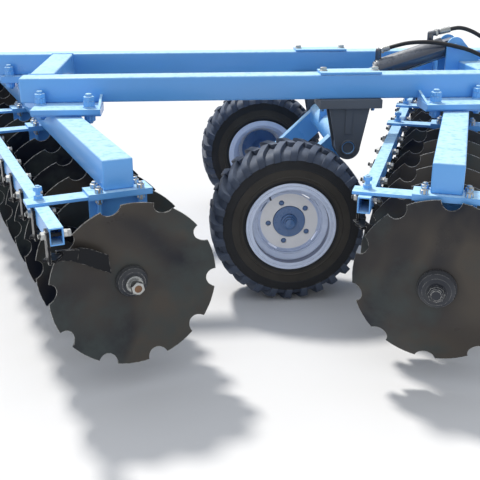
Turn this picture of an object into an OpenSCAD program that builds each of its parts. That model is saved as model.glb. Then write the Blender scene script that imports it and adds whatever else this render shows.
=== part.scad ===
// Trailed offset disc harrow, parked on its two wheels and the drawbar jack.
// X points to the hitch, Y to the machine's left, Z up; all sizes in mm.

/* [Main frame] */
// Width of the square rails
rail_w = 120; // [100:1:150]
// Wall of the rails and cross tubes
rail_wall = 8; // [5:0.5:12]
// Height of the rails' top face above the ground
rail_top = 1062; // [950:1:1200]
// Width over the outer faces of the rails
frame_w = 1004; // [900:1:1200]
// Front end of the rails, ahead of the wheel centres
rail_front = 1500; // [1400:1:1800]
// Length of each rail behind its gang clamp's centre
rail_tail = 168; // [165:1:300]
// Centre of the rear cross tube
rear_cross_x = -1199; // [-1230:1:-1150]
// Centre of the cross tube that carries the lift cylinder
mid_cross_x = 1070; // [1020:1:1120]

/* [Gangs] */
// Angle of each gang to the cross direction, degrees
gang_angle = 20; // [12:0.5:24]
// Right-hand end of the front gang beam, along X
front_end_x = 473; // [400:1:560]
// Right-hand end of the front gang beam, along Y
front_end_y = -1600; // [-1700:1:-1500]
// Right-hand end of the rear gang beam, along X
rear_end_x = -755; // [-850:1:-700]
// Right-hand end of the rear gang beam, along Y
rear_end_y = -1444; // [-1550:1:-1350]
// Width of the square gang beams
beam_w = 120; // [100:1:140]
// Thickness of the clamp plate under a rail
clamp_t = 24; // [18:1:30]
// Thickness of the pad plate between clamp plate and beam
pad_t = 12; // [8:1:16]
// Number of discs on each half gang
half_discs = 7; // [5:1:8]
// Distance from disc to disc
disc_pitch = 254; // [230:1:280]
// Distance from the beam's end to the outer disc's centre plate
disc_overhang = 100; // [90:1:110]
// Height of the disc axle above the ground
axle_z = 448; // [400:1:480]

/* [Discs] */
// Diameter over the notched edge
disc_d = 660; // [600:1:660]
// Thickness of the disc
disc_t = 6; // [4:0.5:8]
// Depth of the dish
disc_dish = 56; // [40:1:60]
// Diameter of the flat centre
disc_flat_d = 170; // [150:1:200]
// Number of notches
notch_count = 10; // [8:1:12]
// Radius of a notch
notch_r = 40; // [30:1:42]
// Distance of a notch's centre outside the disc's edge
notch_out = 6; // [0:1:10]
// Side of the square gang axle
square_w = 38; // [32:1:44]
// Diameter of the spool at its waist
spool_waist_d = 80; // [70:1:100]
// Diameter of the spool at a disc
spool_end_d = 124; // [110:1:140]

/* [Bearing hangers] */
// Outside diameter of a bearing housing
housing_d = 140; // [130:1:160]
// Length of a bearing housing
housing_l = 90; // [70:1:100]
// Diameter of the spool's journal in the bearing
journal_d = 70; // [60:1:80]
// Width of the hanger under the beam
hanger_w = 230; // [210:1:240]
// Thickness of the hanger's plates
hanger_t = 12; // [10:1:16]

/* [Scrapers] */
// Width of the scraper tube
scraper_tube_w = 50; // [45:1:60]
// Height of the scraper tube
scraper_tube_h = 64; // [55:1:80]
// Distance of the scraper tube's centre behind the gang axle
scraper_back = 300; // [295:1:320]
// Thickness of a scraper blade
blade_t = 5; // [4:0.5:8]

/* [Lifting axle] */
// Pivot of the rockshaft, ahead of the wheel centres
pivot_x = 326; // [300:1:360]
// Height of the rockshaft's pivot
pivot_z = 695; // [650:1:720]
// Outside diameter of the rockshaft
rock_d = 140; // [120:1:150]
// Diameter of the rockshaft's journals
rock_pin_d = 80; // [70:1:90]
// Depth of a wheel arm
arm_h = 125; // [100:1:140]
// Width of a wheel arm
arm_w = 60; // [50:1:70]
// Gap between a wheel arm and the bracket beside it
arm_gap = 32; // [20:1:60]
// Thickness of the lever for the lift cylinder
lever_t = 24; // [20:1:28]

/* [Wheels] */
// Outside diameter of the tyre
tyre_d = 780; // [740:1:820]
// Width of the tyre
tyre_w = 274; // [250:1:290]
// Diameter of the rim over its flanges
rim_d = 436; // [420:1:450]
// Width of the rim over its flanges
rim_w = 259; // [240:1:270]
// Distance between the two wheels' middles
track = 1394; // [1380:1:1500]
// Diameter of the spindle in the hub
spindle_d = 60; // [50:1:70]
// Number of tread bars on each side of a tyre
lug_count = 28; // [24:1:32]
// Width of a tread bar
lug_w = 31; // [25:1:36]
// Height of a tread bar
lug_h = 22; // [16:1:26]

/* [Lift cylinder] */
// Outside diameter of the barrel
barrel_d = 114; // [100:1:120]
// Distance between the cylinder's two pins as parked
cylinder_l = 700; // [660:1:718]
// Diameter of the piston rod
rod_d = 50; // [40:1:55]
// Diameter of the cylinder pins
pin_d = 32; // [28:1:36]
// Cap-end pin, along X
cap_pin_x = 985; // [970:1:1000]
// Cap-end pin, height
cap_pin_z = 1142; // [1130:1:1160]

/* [Drawbar] */
// Pins of the drawbar, along X
drawbar_x = 1562; // [1555:1:1600]
// Height of the drawbar's pins
drawbar_z = 962; // [940:1:980]
// Distance from a rail's outer face in to the centre of the drawbar pin
drawbar_inset = 172; // [140:1:200]
// Hitch pin, along X
hitch_x = 3380; // [3200:1:3500]
// Height of the hitch pin's middle
hitch_z = 500; // [450:1:560]
// Diameter of the hole for the hitch pin
hitch_hole_d = 33; // [28:1:40]
// Jack, along X
jack_x = 2720; // [2600:1:2800]
// Outside diameter of the hydraulic hoses
hose_d = 22; // [18:1:24]

/* [Hidden] */
$fn = 64;
run_gap = 0.05;
seat_gap = 0.3;

rail_y = frame_w / 2 - rail_w / 2;
rail_bot = rail_top - rail_w;
arm_y = frame_w / 2 - rail_w - arm_gap;
drawbar_y = frame_w / 2 - drawbar_inset;
front_cross_x = rail_front - rail_w / 2;
CROSS_X = [rear_cross_x, mid_cross_x, front_cross_x];
beam_top = rail_bot - clamp_t - pad_t;
beam_bot = beam_top - beam_w;
disc_r = disc_d / 2;
gang_discs = 2 * half_discs;
beam_l = (gang_discs - 1) * disc_pitch - 2 * disc_overhang;

function hub_s(i) = i * disc_pitch - disc_overhang;
// bearings lie between the first two and the last two discs of each half gang
function bearing_s(k) = hub_s(k < 2 ? k * (half_discs - 2) : half_discs + (k - 2) * (half_discs - 2))
    + disc_pitch / 2;

// gang table: beam end x, beam end y, angle, side of the discs' hollow faces, turn of the discs as parked
FRONT = [front_end_x, front_end_y, -gang_angle, 1, 22];
REAR = [rear_end_x, rear_end_y, gang_angle, -1, 32];

function gang_cross_x(g, y) = g[0] - (y - g[1]) * tan(g[2]);

wheel_z = tyre_d / 2;
wheel_y = track / 2;
arm_angle = atan2(pivot_z - wheel_z, pivot_x);
arm_l = norm([pivot_x, pivot_z - wheel_z]);

// lift linkage: the rod pin lies on the cylinder's axis
cylinder_drop = 18.3;
rod_pin_x = cap_pin_x - cylinder_l * cos(cylinder_drop);
rod_pin_z = cap_pin_z - cylinder_l * sin(cylinder_drop);
barrel_from = 52;
barrel_to = 428;
gland_to = 440;

// levelling screw from the mast to the drawbar's lug
mast_x = 1455;
mast_z = 1262;
lug_x = 2240;
lug_z = 880;
screw_l = norm([lug_x - mast_x, mast_z - lug_z]);
screw_drop = atan2(mast_z - lug_z, lug_x - mast_x);

tip_x = hitch_x - 150;
bar_lean = (drawbar_y - 70) / (tip_x - drawbar_x);
bar_fall = (drawbar_z - hitch_z) / (tip_x - drawbar_x);

// the part's origin lies on the ground under the middle of its box
shank_out = 148;
hanger_reach = scraper_back + scraper_tube_w / 2 + 27;
arm_plate_w = 80;
shank_w = 50;
shank_back = scraper_back + scraper_tube_w / 2 + 10;
rearmost_x = rear_end_x - (bearing_s(3) + arm_plate_w / 2) * sin(gang_angle) - hanger_reach * cos(gang_angle);
origin_x = (rearmost_x + hitch_x + 50) / 2;
right_y = rear_end_y - (disc_overhang + shank_out + shank_w / 2) * cos(gang_angle)
    - shank_back * sin(gang_angle);
left_y = front_end_y + (hub_s(gang_discs - 1) + shank_out + shank_w / 2) * cos(gang_angle)
    + shank_back * sin(gang_angle);
origin_y = (right_y + left_y) / 2;

// hoses: ports as [elbow, foot of the boss, ferrule's end]; routes of points chosen one by one, the
// shared ones with half the distance between the two hoses as fourth value
hose_mid_y = -77;
hose_rest_z = rail_top + hose_d / 2 + 1.3;
clip_x = 1440;
PORTS = [[[578, 0, 1112], 1045, [625, -12, 1127]], [[862, 0, 1200], 1140, [957, 0, 1221]]];
CYLINDER_RUN = [[625.3, -12.1, 1127.1], [712, -35, 1153], [790, -58, 1163], [862, -82, 1163],
    [928, -102, 1154], [984.2, -108, 1142.2]];
ROD_SIDE_RUN = [[985.8, -108, 1141.8], [1052, -108, 1124], [1128, -106, 1093], [1210, -101, 1066],
    [1300, -95, 1064]];
CAP_SIDE_RUN = [[959.5, 0, 1221.6], [1022, 0, 1231], [1090, -6, 1213], [1171, -22, 1168],
    [1252, -42, 1116], [1322, -57, 1083]];
FRAME_RUN = [[1384, hose_mid_y, hose_rest_z, 15], [clip_x, hose_mid_y, hose_rest_z, 15],
    [1464, hose_mid_y, hose_rest_z, 15], [1490, hose_mid_y, hose_rest_z, 15], [1530, -98, 1076, 15],
    [1567, -136, 1056, 15], [1587, -172, 1026, 15], [1592, -188, 996, 15], [1592, -190, 967, 15]];
LOOP_RUN = [[1592, -190, 957, 15], [1599, -191, 914, 15], [1635, -194, 876, 15], [1688, -198, 864, 15],
    [1742, -203, 890, 16], [1795, -209, 940, 17], [1845, -226, 978, 18], [1895, -250, 966, 20]];

BLUE = [0.20, 0.42, 0.72];
BLACK = [0.10, 0.10, 0.11];
GREY = [0.28, 0.29, 0.31];
ZINC = [0.72, 0.73, 0.74];
SILVER = [0.66, 0.68, 0.70];
RUBBER = [0.07, 0.07, 0.08];

// Shared shapes

module placed() {
    translate([-origin_x, -origin_y, 0]) children();
}

module box_tube(l, w, h, wall) {
    difference() {
        translate([-l / 2, -w / 2, -h / 2]) cube([l, w, h]);
        translate([-l / 2 + wall, -w / 2 + wall, -h / 2 + wall])
            cube([l - 2 * wall, w - 2 * wall, h - 2 * wall]);
    }
}

// axis along Y, from a to b
module rod_y(d, a, b) {
    translate([0, a, 0]) rotate([-90, 0, 0]) cylinder(d = d, h = b - a);
}

// axis along Z, from a to b
module rod_z(d, a, b) {
    translate([0, 0, a]) cylinder(d = d, h = b - a);
}

// flat profile in X and Z, thickness from y = a to y = b
module plate_y(a, b) {
    translate([0, b, 0]) rotate([90, 0, 0]) linear_extrude(b - a) children();
}

// hollow bar of section w by h from p to q, closed at its ends
module tube_bar(p, q, w, h, wall) {
    v = q - p;
    translate((p + q) / 2) rotate([0, -atan2(v[2], norm([v[0], v[1]])), atan2(v[1], v[0])])
        box_tube(norm(v), w, h, wall);
}

// bar of section w by h from p to q
module bar(p, q, w, h) {
    v = q - p;
    translate(p)
        rotate([0, -atan2(v[2], norm([v[0], v[1]])), atan2(v[1], v[0])])
            translate([0, -w / 2, -h / 2]) cube([norm(v), w, h]);
}

module at_gang(g) {
    translate([g[0], g[1], 0]) rotate([0, 0, g[2]]) children();
}

module both_sides() {
    children();
    mirror([0, 1, 0]) children();
}

// Main frame

module rail(side, tail_x) {
    l = rail_front - tail_x;
    color(BLUE) translate([tail_x + l / 2, side * rail_y, rail_top - rail_w / 2])
        box_tube(l, rail_w, rail_w, rail_wall);
}

module rail_right() {
    rail(-1, gang_cross_x(REAR, -rail_y) - rail_tail);
}

module rail_left() {
    rail(1, gang_cross_x(REAR, rail_y) - rail_tail);
}

module cross_tubes() {
    color(BLUE) for (x = CROSS_X)
        translate([x, 0, rail_top - rail_w / 2]) rotate([0, 0, 90])
            box_tube(frame_w - 2 * rail_w, rail_w, rail_w, rail_wall);
}

clamp_bolt_d = 30;
clamp_nut_d = 53;

// outline of a clamp plate: u along the rail from where rail and beam cross, v outwards from the rail's
// middle; outside the rail the plate lies over the beam's near part, and a gusset stands at its end
clamp_to = 238;
clamp_from = 125;
clamp_outline = [[-92, clamp_to], [230, clamp_to], [230, rail_w / 2], [110, -rail_w / 2],
    [110, -clamp_from], [-172, -clamp_from], [-172, -rail_w / 2], [-92, rail_w / 2]];
CLAMP_BOLTS = [[-68, 90], [174, 181], [-134, -90], [68, -90]];

// a bolt under a cross tube is screwed into the upper plate and has no nut there
function under_tube(x) = len([for (c = CROSS_X) if (abs(x - c) < (rail_w + clamp_nut_d) / 2 + 5) c]) > 0;

module gang_clamp(g, side) {
    x = gang_cross_x(g, side * rail_y);
    lean = -side * sign(g[2]);
    translate([x, side * rail_y, 0]) scale_uv(lean, side) {
        difference() {
            translate([0, 0, beam_top]) linear_extrude(clamp_t + pad_t) polygon(clamp_outline);
            // the pad plate stands back from the clamp plate's outer edge
            translate([-300, clamp_to - 22, beam_top - 1]) cube([600, 50, pad_t + 1]);
        }
        // gusset on the plate's outer end, against the rail's face
        translate([230 - 14, rail_w / 2, rail_bot]) rotate([90, 0, 90]) linear_extrude(12)
            polygon([[0, 0], [clamp_to - rail_w / 2 - 14, 0], [0, 40]]);
        for (p = CLAMP_BOLTS) translate([p[0], p[1], 0]) {
            screwed = p[1] < 0 && under_tube(x + lean * p[0]);
            rod_z(clamp_bolt_d, beam_top - 34, rail_bot + (screwed ? 0 : 62));
            translate([0, 0, beam_top - 26]) cylinder(d = clamp_nut_d, h = 26, $fn = 6);
            if (!screwed) {
                rod_z(58, rail_bot, rail_bot + 5);
                translate([0, 0, rail_bot + 5]) cylinder(d = clamp_nut_d, h = 26, $fn = 6);
                translate([0, 0, rail_bot + 32]) rotate([0, 0, 20]) cylinder(d = clamp_nut_d, h = 18, $fn = 6);
            }
        }
    }
}

// mirrors so that u runs along lean * X and v along side * Y
module scale_uv(lean, side) {
    mirror([lean < 0 ? 1 : 0, 0, 0]) mirror([0, side < 0 ? 1 : 0, 0]) children();
}

module gang_clamps() {
    color(BLUE) for (g = [FRONT, REAR], side = [-1, 1]) gang_clamp(g, side);
}

// Gang beams and what hangs from them

module gang_beam(g) {
    color(BLUE) at_gang(g) translate([0, beam_l / 2, beam_bot + beam_w / 2]) rotate([0, 0, 90])
        box_tube(beam_l, beam_w, beam_w, rail_wall);
}

module front_gang_beam() {
    gang_beam(FRONT);
}

module rear_gang_beam() {
    gang_beam(REAR);
}

hanger_foot_w = 150;
flange_l = 110;
flange_w = 250;
scraper_top = beam_bot - 2 * hanger_t;

HANGER_BOLTS = [[-82, -36], [-82, 36], [82, -36], [82, 36]];
arm_bolt_h = 50;

module hanger() {
    // welded flange and bolted plate under the beam, with the arm to the scraper tube
    for (z = [beam_bot - hanger_t, scraper_top])
        translate([-flange_w / 2, -flange_l / 2, z]) cube([flange_w, flange_l, hanger_t]);
    translate([-hanger_reach, -arm_plate_w / 2, scraper_top]) cube([hanger_reach, arm_plate_w, hanger_t]);
    // bolt at the arm's end
    translate([-scraper_back, 12, scraper_top + hanger_t]) {
        rod_z(18, 0, arm_bolt_h);
        cylinder(d = 34, h = 16, $fn = 6);
        translate([0, 0, arm_bolt_h - 16]) cylinder(d = 34, h = 14, $fn = 6);
    }
    // upright plate with its two ribs, seated under the bolted plate
    top = scraper_top - seat_gap;
    shoulder = top - 110;
    difference() {
        union() {
            plate_y(-8, 8) {
                polygon([[-hanger_w / 2, top], [hanger_w / 2, top], [hanger_w / 2, shoulder],
                    [hanger_foot_w / 2, axle_z], [-hanger_foot_w / 2, axle_z], [-hanger_w / 2, shoulder]]);
                translate([0, axle_z]) circle(d = hanger_foot_w);
            }
            for (u = [-1, 1]) translate([u * 80 - 6, -34, shoulder - 60]) cube([12, 68, top - shoulder + 60]);
        }
        translate([0, 0, axle_z]) rod_y(housing_d + 2 * seat_gap, -60, 60);
    }
    for (p = HANGER_BOLTS) translate([p[0], p[1], 0]) {
        translate([0, 0, beam_bot]) cylinder(d = 32, h = 15, $fn = 6);
        rod_z(18, beam_bot, beam_bot + 24);
        translate([0, 0, scraper_top - 14]) cylinder(d = 32, h = 14, $fn = 6);
    }
}

module hangers(g) {
    color(BLUE) at_gang(g) for (k = [0:3]) translate([0, bearing_s(k), 0]) hanger();
}

module front_hangers() {
    hangers(FRONT);
}

module rear_hangers() {
    hangers(REAR);
}

module bearings(g) {
    color(BLUE) at_gang(g) for (k = [0:3]) translate([0, bearing_s(k), axle_z]) difference() {
        union() {
            rod_y(housing_d, -housing_l / 2, housing_l / 2);
            rod_y(housing_d - 24, -housing_l / 2 - 6, housing_l / 2 + 6);
        }
        rod_y(journal_d + 2 * run_gap, -housing_l, housing_l);
    }
}

module front_bearings() {
    bearings(FRONT);
}

module rear_bearings() {
    bearings(REAR);
}

// Scrapers

scraper_bolt_d = 16;
scraper_bolt_z = scraper_top - 30;

module scraper_bar(g) {
    // the tube reaches past the first disc's scraper on one side and the last disc's on the other
    first = hub_s(0) + g[3] * shank_out;
    last = hub_s(gang_discs - 1) + g[3] * shank_out;
    from = first - (g[3] > 0 ? 93 : 22);
    to = last + (g[3] > 0 ? 22 : 93);
    color(BLUE) at_gang(g) difference() {
        translate([-scraper_back - scraper_tube_w / 2, from, scraper_top - scraper_tube_h])
            cube([scraper_tube_w, to - from, scraper_tube_h]);
        translate([-scraper_back - scraper_tube_w / 2 + 5, from - 1, scraper_top - scraper_tube_h + 5])
            cube([scraper_tube_w - 10, to - from + 2, scraper_tube_h - 10]);
        for (i = [0:gang_discs - 1]) translate([0, hub_s(i) + g[3] * shank_out, scraper_bolt_z])
            rod_x(scraper_bolt_d + 2 * seat_gap, -scraper_back - scraper_tube_w, -scraper_back + scraper_tube_w);
    }
}

module front_scraper_bar() {
    scraper_bar(FRONT);
}

module rear_scraper_bar() {
    scraper_bar(REAR);
}

// one scraper, beside the hollow face of the disc whose centre is at y = 0;
// side is the side of that face
strap_w = 46;
knee_drop = 126;
strap_t = 10;
// the blade leans with the dish about the line from the axle to its heel
blade_slope = atan2(150, -250);
blade_gap = 6;

module on_blade(side) {
    lean = atan((disc_dish - 4) / (disc_r - disc_flat_d / 2)) * 0.92;
    translate([0, side * (disc_t / 2 + blade_gap), axle_z]) rotate([0, -blade_slope, 0])
        rotate([0, 0, side * lean]) rotate([0, blade_slope, 0]) children();
}

module scraper(side) {
    back = -scraper_back - scraper_tube_w / 2;
    top = scraper_top - 12;
    knee = [back - 5, side * shank_out, scraper_top - knee_drop];
    translate([-shank_back, side * shank_out - shank_w / 2, knee[2] - 5])
        cube([10, shank_w, top - knee[2] + 5]);
    // strap from the shank, bent to lie flat on the blade
    bar(knee, [-288, side * 80, axle_z + 184], strap_w, strap_t);
    on_blade(side) {
        plate_y(side > 0 ? blade_t : -blade_t - strap_t, side > 0 ? blade_t + strap_t : -blade_t)
            polygon([[-302, 165], [-300, 206], [-214, 192], [-222, 148]]);
        plate_y(side > 0 ? 0 : -blade_t, side > 0 ? blade_t : 0)
            polygon([[-255, 188], [-206, 193], [-170, 180], [-97, 137], [-87, 56], [-186, 116], [-262, 159]]);
    }
    // bolt through the shank and the tube
    translate([0, side * shank_out, scraper_bolt_z]) {
        rod_x(scraper_bolt_d, back - 34, back + scraper_tube_w + 26);
        for (x = [back - 24, back + scraper_tube_w + seat_gap]) translate([x, 0, 0]) rotate([0, 90, 0])
            cylinder(d = 30, h = 14, $fn = 6);
    }
}

module scrapers(g) {
    color(BLACK) at_gang(g) for (i = [0:gang_discs - 1]) translate([0, hub_s(i), 0]) scraper(g[3]);
}

module front_scrapers() {
    scrapers(FRONT);
}

module rear_scrapers() {
    scrapers(REAR);
}

// Disc rotors

// notched disc in the local plane z = 0, hollow towards +Z
module disc(turn) {
    rise = disc_dish;
    a = disc_flat_d / 2;
    // arc from the flat centre to the edge: tangent to the flat
    span = disc_r - a;
    arc_r = (span * span + rise * rise) / (2 * rise);
    difference() {
        rotate_extrude($fn = 96) intersection() {
            union() {
                translate([0, -disc_t / 2]) square([a, disc_t]);
                translate([a, arc_r]) difference() {
                    circle(r = arc_r + disc_t / 2, $fn = 200);
                    circle(r = arc_r - disc_t / 2, $fn = 200);
                    translate([-3 * arc_r, -3 * arc_r]) square([3 * arc_r, 6 * arc_r]);
                    translate([-arc_r, 0]) square([3 * arc_r, 3 * arc_r]);
                }
            }
            translate([0, -disc_t]) square([disc_r, disc_dish + 3 * disc_t]);
        }
        for (k = [0:notch_count - 1]) rotate([0, 0, turn + k * 360 / notch_count])
            translate([disc_r + notch_out, 0, -disc_t]) cylinder(r = notch_r, h = disc_dish + 4 * disc_t);
        cube([square_w + 2 * seat_gap, square_w + 2 * seat_gap, 4 * disc_t], center = true);
    }
}

module half_discs_of(g, half) {
    color(BLACK) at_gang(g) for (i = [0:half_discs - 1])
        translate([0, hub_s(i + half * half_discs), axle_z]) rotate([g[3] > 0 ? -90 : 90, 0, 0]) disc(g[4]);
}

// spool between two discs, centre at y = 0
module spool(bearing) {
    e = disc_pitch / 2 - disc_t / 2;
    neck = bearing ? housing_l / 2 + 12 : 0;
    difference() {
        rotate([-90, 0, 0]) rotate_extrude() if (bearing)
            polygon([[0, -e], [spool_end_d / 2, -e], [spool_end_d / 2, -e + 20], [50, -neck - 12],
                [50, -neck], [journal_d / 2, -neck], [journal_d / 2, neck], [50, neck], [50, neck + 12],
                [spool_end_d / 2, e - 20], [spool_end_d / 2, e], [0, e]]);
        else
            polygon([[0, -e], [spool_end_d / 2, -e], [spool_end_d / 2, -e + 16], [spool_waist_d / 2, -e + 50],
                [spool_waist_d / 2, e - 50], [spool_end_d / 2, e - 16], [spool_end_d / 2, e], [0, e]]);
        cube([square_w + 2 * seat_gap, 3 * e, square_w + 2 * seat_gap], center = true);
    }
}

// washer on a gang's outer disc: rounded on the hollow side, a wide casting on the other
hollow_washer_t = 34;
back_washer_t = 46;

module end_washer(hollow) {
    difference() {
        rotate_extrude() if (hollow)
            polygon([[0, 0], [63, 0], [63, 12], [58, 24], [46, hollow_washer_t], [0, hollow_washer_t]]);
        else
            polygon([[0, 0], [74, 0], [74, 14], [68, 30], [54, 42], [40, back_washer_t], [0, back_washer_t]]);
        cube([square_w + 2 * seat_gap, square_w + 2 * seat_gap, 3 * back_washer_t], center = true);
    }
}

module half_spools_of(g, half) {
    first = hub_s(half * half_discs);
    color(BLACK) at_gang(g) {
        for (i = [0:half_discs - 2]) translate([0, first + (i + 0.5) * disc_pitch, axle_z])
            spool(i == 0 || i == half_discs - 2);
        for (u = [-1, 1]) translate([0, first + (u + 1) / 2 * (half_discs - 1) * disc_pitch, axle_z])
            rotate([-u * 90, 0, 0]) translate([0, 0, disc_t / 2]) end_washer(u == g[3]);
    }
}

// the bar has a square head at the discs' backs and a collar, nut and thread at their hollow faces
module half_shaft_of(g, half) {
    first = hub_s(half * half_discs);
    over_hollow = disc_t / 2 + hollow_washer_t;
    over_back = disc_t / 2 + back_washer_t;
    from = g[3] > 0 ? over_back : over_hollow;
    l = (half_discs - 1) * disc_pitch + over_hollow + over_back;
    color(ZINC) at_gang(g) translate([0, first - from, axle_z]) {
        translate([-square_w / 2, 0, -square_w / 2]) cube([square_w, l, square_w]);
        for (u = [-1, 1]) translate([0, u < 0 ? 0 : l, 0]) rotate([-u * 90, 0, 0]) if (u == g[3]) {
            cylinder(d = 67, h = 14);
            translate([0, 0, 14]) cylinder(d = 54, h = 26, $fn = 6);
            cylinder(d = 28, h = 58);
        } else {
            cylinder(d = 64, h = 20, $fn = 8);
            cylinder(d = 36, h = 27);
        }
    }
}

module front_right_discs() {
    half_discs_of(FRONT, 0);
}

module front_left_discs() {
    half_discs_of(FRONT, 1);
}

module rear_right_discs() {
    half_discs_of(REAR, 0);
}

module rear_left_discs() {
    half_discs_of(REAR, 1);
}

module front_right_spools() {
    half_spools_of(FRONT, 0);
}

module front_left_spools() {
    half_spools_of(FRONT, 1);
}

module rear_right_spools() {
    half_spools_of(REAR, 0);
}

module rear_left_spools() {
    half_spools_of(REAR, 1);
}

module front_right_shaft() {
    half_shaft_of(FRONT, 0);
}

module front_left_shaft() {
    half_shaft_of(FRONT, 1);
}

module rear_right_shaft() {
    half_shaft_of(REAR, 0);
}

module rear_left_shaft() {
    half_shaft_of(REAR, 1);
}

// Brackets of the lifting axle

bracket_boss_r = 62;
bracket_top_w = 206;
lip_h = 42;
lip_l = 310;
lip_w = 190;
long_bolt_x = 130;

module axle_bracket(side) {
    translate([pivot_x, side * rail_y, 0]) {
        difference() {
            union() {
                for (a = [-rail_w / 2, rail_w / 2 - 16]) plate_y(a, a + 16) {
                    polygon([[-bracket_top_w / 2, rail_bot - lip_h], [bracket_top_w / 2, rail_bot - lip_h],
                        [bracket_boss_r, pivot_z], [-bracket_boss_r, pivot_z]]);
                    translate([0, pivot_z]) circle(r = bracket_boss_r);
                }
                translate([0, 0, pivot_z]) rod_y(2 * bracket_boss_r - 8, -rail_w / 2, rail_w / 2);
                // pressed rib on the outer face
                translate([-20, side < 0 ? -rail_w / 2 - 6 : rail_w / 2, pivot_z + 70])
                    cube([34, 6, rail_bot - lip_h - pivot_z - 70]);
                translate([-lip_l / 2, -lip_w / 2, rail_bot - lip_h]) cube([lip_l, lip_w, lip_h]);
            }
            translate([0, 0, pivot_z]) rod_y(rock_pin_d + 2 * run_gap, -rail_w, rail_w);
        }
    }
}

module axle_brackets() {
    color(GREY) for (side = [-1, 1]) axle_bracket(side);
}

module axle_clamps() {
    color(BLUE) for (side = [-1, 1]) translate([pivot_x, side * rail_y, 0]) {
        difference() {
            translate([-152, -lip_w / 2, rail_top]) cube([304, lip_w, 12]);
            for (u = [-1, 1], v = [-1, 1]) translate([u * long_bolt_x, v * 78, rail_top - 1])
                cylinder(d = 22, h = 14);
        }
        for (u = [-1, 1], v = [-1, 1]) translate([u * long_bolt_x, v * 78, 0]) {
            rod_z(21, rail_bot, rail_top + 12);
            translate([0, 0, rail_top + 12]) cylinder(d = 34, h = 14, $fn = 6);
            translate([0, 0, rail_bot - lip_h - 16]) cylinder(d = 34, h = 16, $fn = 6);
            rod_z(20, rail_bot - lip_h - 30, rail_bot - lip_h - 16);
        }
    }
}

// Lifting axle

module rockshaft() {
    reach = 78;
    color(BLUE) union() {
        translate([pivot_x, 0, pivot_z]) difference() {
            rod_y(rock_d, -arm_y + 3, arm_y - 3);
            rod_y(rock_d - 24, -arm_y + arm_w - 5, arm_y - arm_w + 5);
        }
        both_sides() difference() {
            translate([pivot_x, 0, pivot_z]) rod_y(rock_pin_d, arm_y - arm_w + 5, frame_w / 2 + 5);
            translate([pivot_x, 0, pivot_z]) rod_y(rock_pin_d - 22, arm_y, frame_w / 2 + 6);
        }
        both_sides() translate([0, arm_y - arm_w / 2, wheel_z]) rotate([0, -arm_angle, 0]) {
            translate([0, -arm_w / 2, -arm_h / 2]) cube([arm_l + reach, arm_w, arm_h]);
            rod_y(arm_h, -arm_w / 2, arm_w / 2);
        }
        // lever for the cylinder
        difference() {
            plate_y(-lever_t / 2, lever_t / 2) {
                polygon([[pivot_x - 68, pivot_z], [pivot_x + 68, pivot_z], [rod_pin_x + 45, rod_pin_z],
                    [rod_pin_x - 45, rod_pin_z]]);
                translate([rod_pin_x, rod_pin_z]) circle(r = 45);
            }
            translate([pivot_x, 0, pivot_z]) rod_y(rock_d - 18, -lever_t, lever_t);
            // the eye is wide, so that the pin stays clear of it over the whole travel
            translate([rod_pin_x, 0, rod_pin_z]) rod_y(pin_d + 2 * eye_gap, -lever_t, lever_t);
        }
    }
}

eye_gap = 12;

module spindles() {
    color(BLUE) both_sides() translate([0, 0, wheel_z]) {
        rod_y(90, arm_y, wheel_y - hub_in - 6);
        rod_y(spindle_d, wheel_y - hub_in - 6, wheel_y + 50);
    }
}

// Wheels; local y = 0 in the middle, +Y outwards

hub_in = 137;
rim_dish = 85;
rim_disc_t = 8;
stud_pcd = 205;
rim_bore_d = 160;

module at_wheel(side) {
    mirror([0, side < 0 ? 1 : 0, 0]) translate([0, wheel_y, wheel_z]) children();
}

// outline as [radius, y]
module spin_y() {
    rotate([-90, 0, 0]) rotate_extrude($fn = 96) children();
}

tyre_facets = 28;
lug_reach = 18;
lug_lead = 7.3;
lug_turn = 94.3;

// corners of a tread bar's section: an outer and an inner point [radius, y], each with both edges
function lug_section(turn, outer, inner) = [for (p = [outer, inner], u = [-1, 1])
    let (a = turn + u * asin(lug_w / tyre_d)) [p[0] * cos(a), p[1], p[0] * sin(a)]];

// a bar from a little beyond the tyre's middle to the side wall
module lug(turn) {
    top = tyre_d / 2;
    side = tyre_w / 2;
    tip = lug_section(turn, [top, -lug_reach], [top - lug_h - 4, -lug_reach]);
    foot = lug_section(turn + lug_lead, [top - 16, side], [top - 62, side]);
    hull() polyhedron(concat(tip, foot),
        [[0, 1, 3, 2], [4, 6, 7, 5], [0, 4, 5, 1], [2, 3, 7, 6], [0, 2, 6, 4], [1, 5, 7, 3]]);
}

module tyre() {
    // the flat sides of the bore stay outside the rim's seat
    bead = (rim_d / 2 - 24 + seat_gap) / cos(180 / tyre_facets);
    tread = tyre_d / 2 - lug_h;
    wall = tyre_w / 2 - 6;
    lip = rim_w / 2 - 9;
    color(RUBBER) {
        rotate([-90, 0, 0]) rotate_extrude($fn = tyre_facets) polygon([
            [tread, -96], [tread, 96], [tread - 34, wall], [bead + 24, lip], [bead, lip], [bead, lip - 31],
            [tread - 40, 90], [tread - 40, -90], [bead, 31 - lip], [bead, -lip], [bead + 24, -lip],
            [tread - 34, -wall]]);
        for (k = [0:lug_count - 1]) {
            pitch = 360 / lug_count;
            lug(lug_turn + k * pitch);
            mirror([0, 1, 0]) lug(lug_turn + (k + 0.5) * pitch);
        }
    }
}

stud_hole_d = 27;
stud_turn = 104;

module at_studs() {
    for (k = [0:4]) rotate([0, stud_turn + k * 72, 0]) translate([stud_pcd / 2, 0, 0]) children();
}

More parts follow.
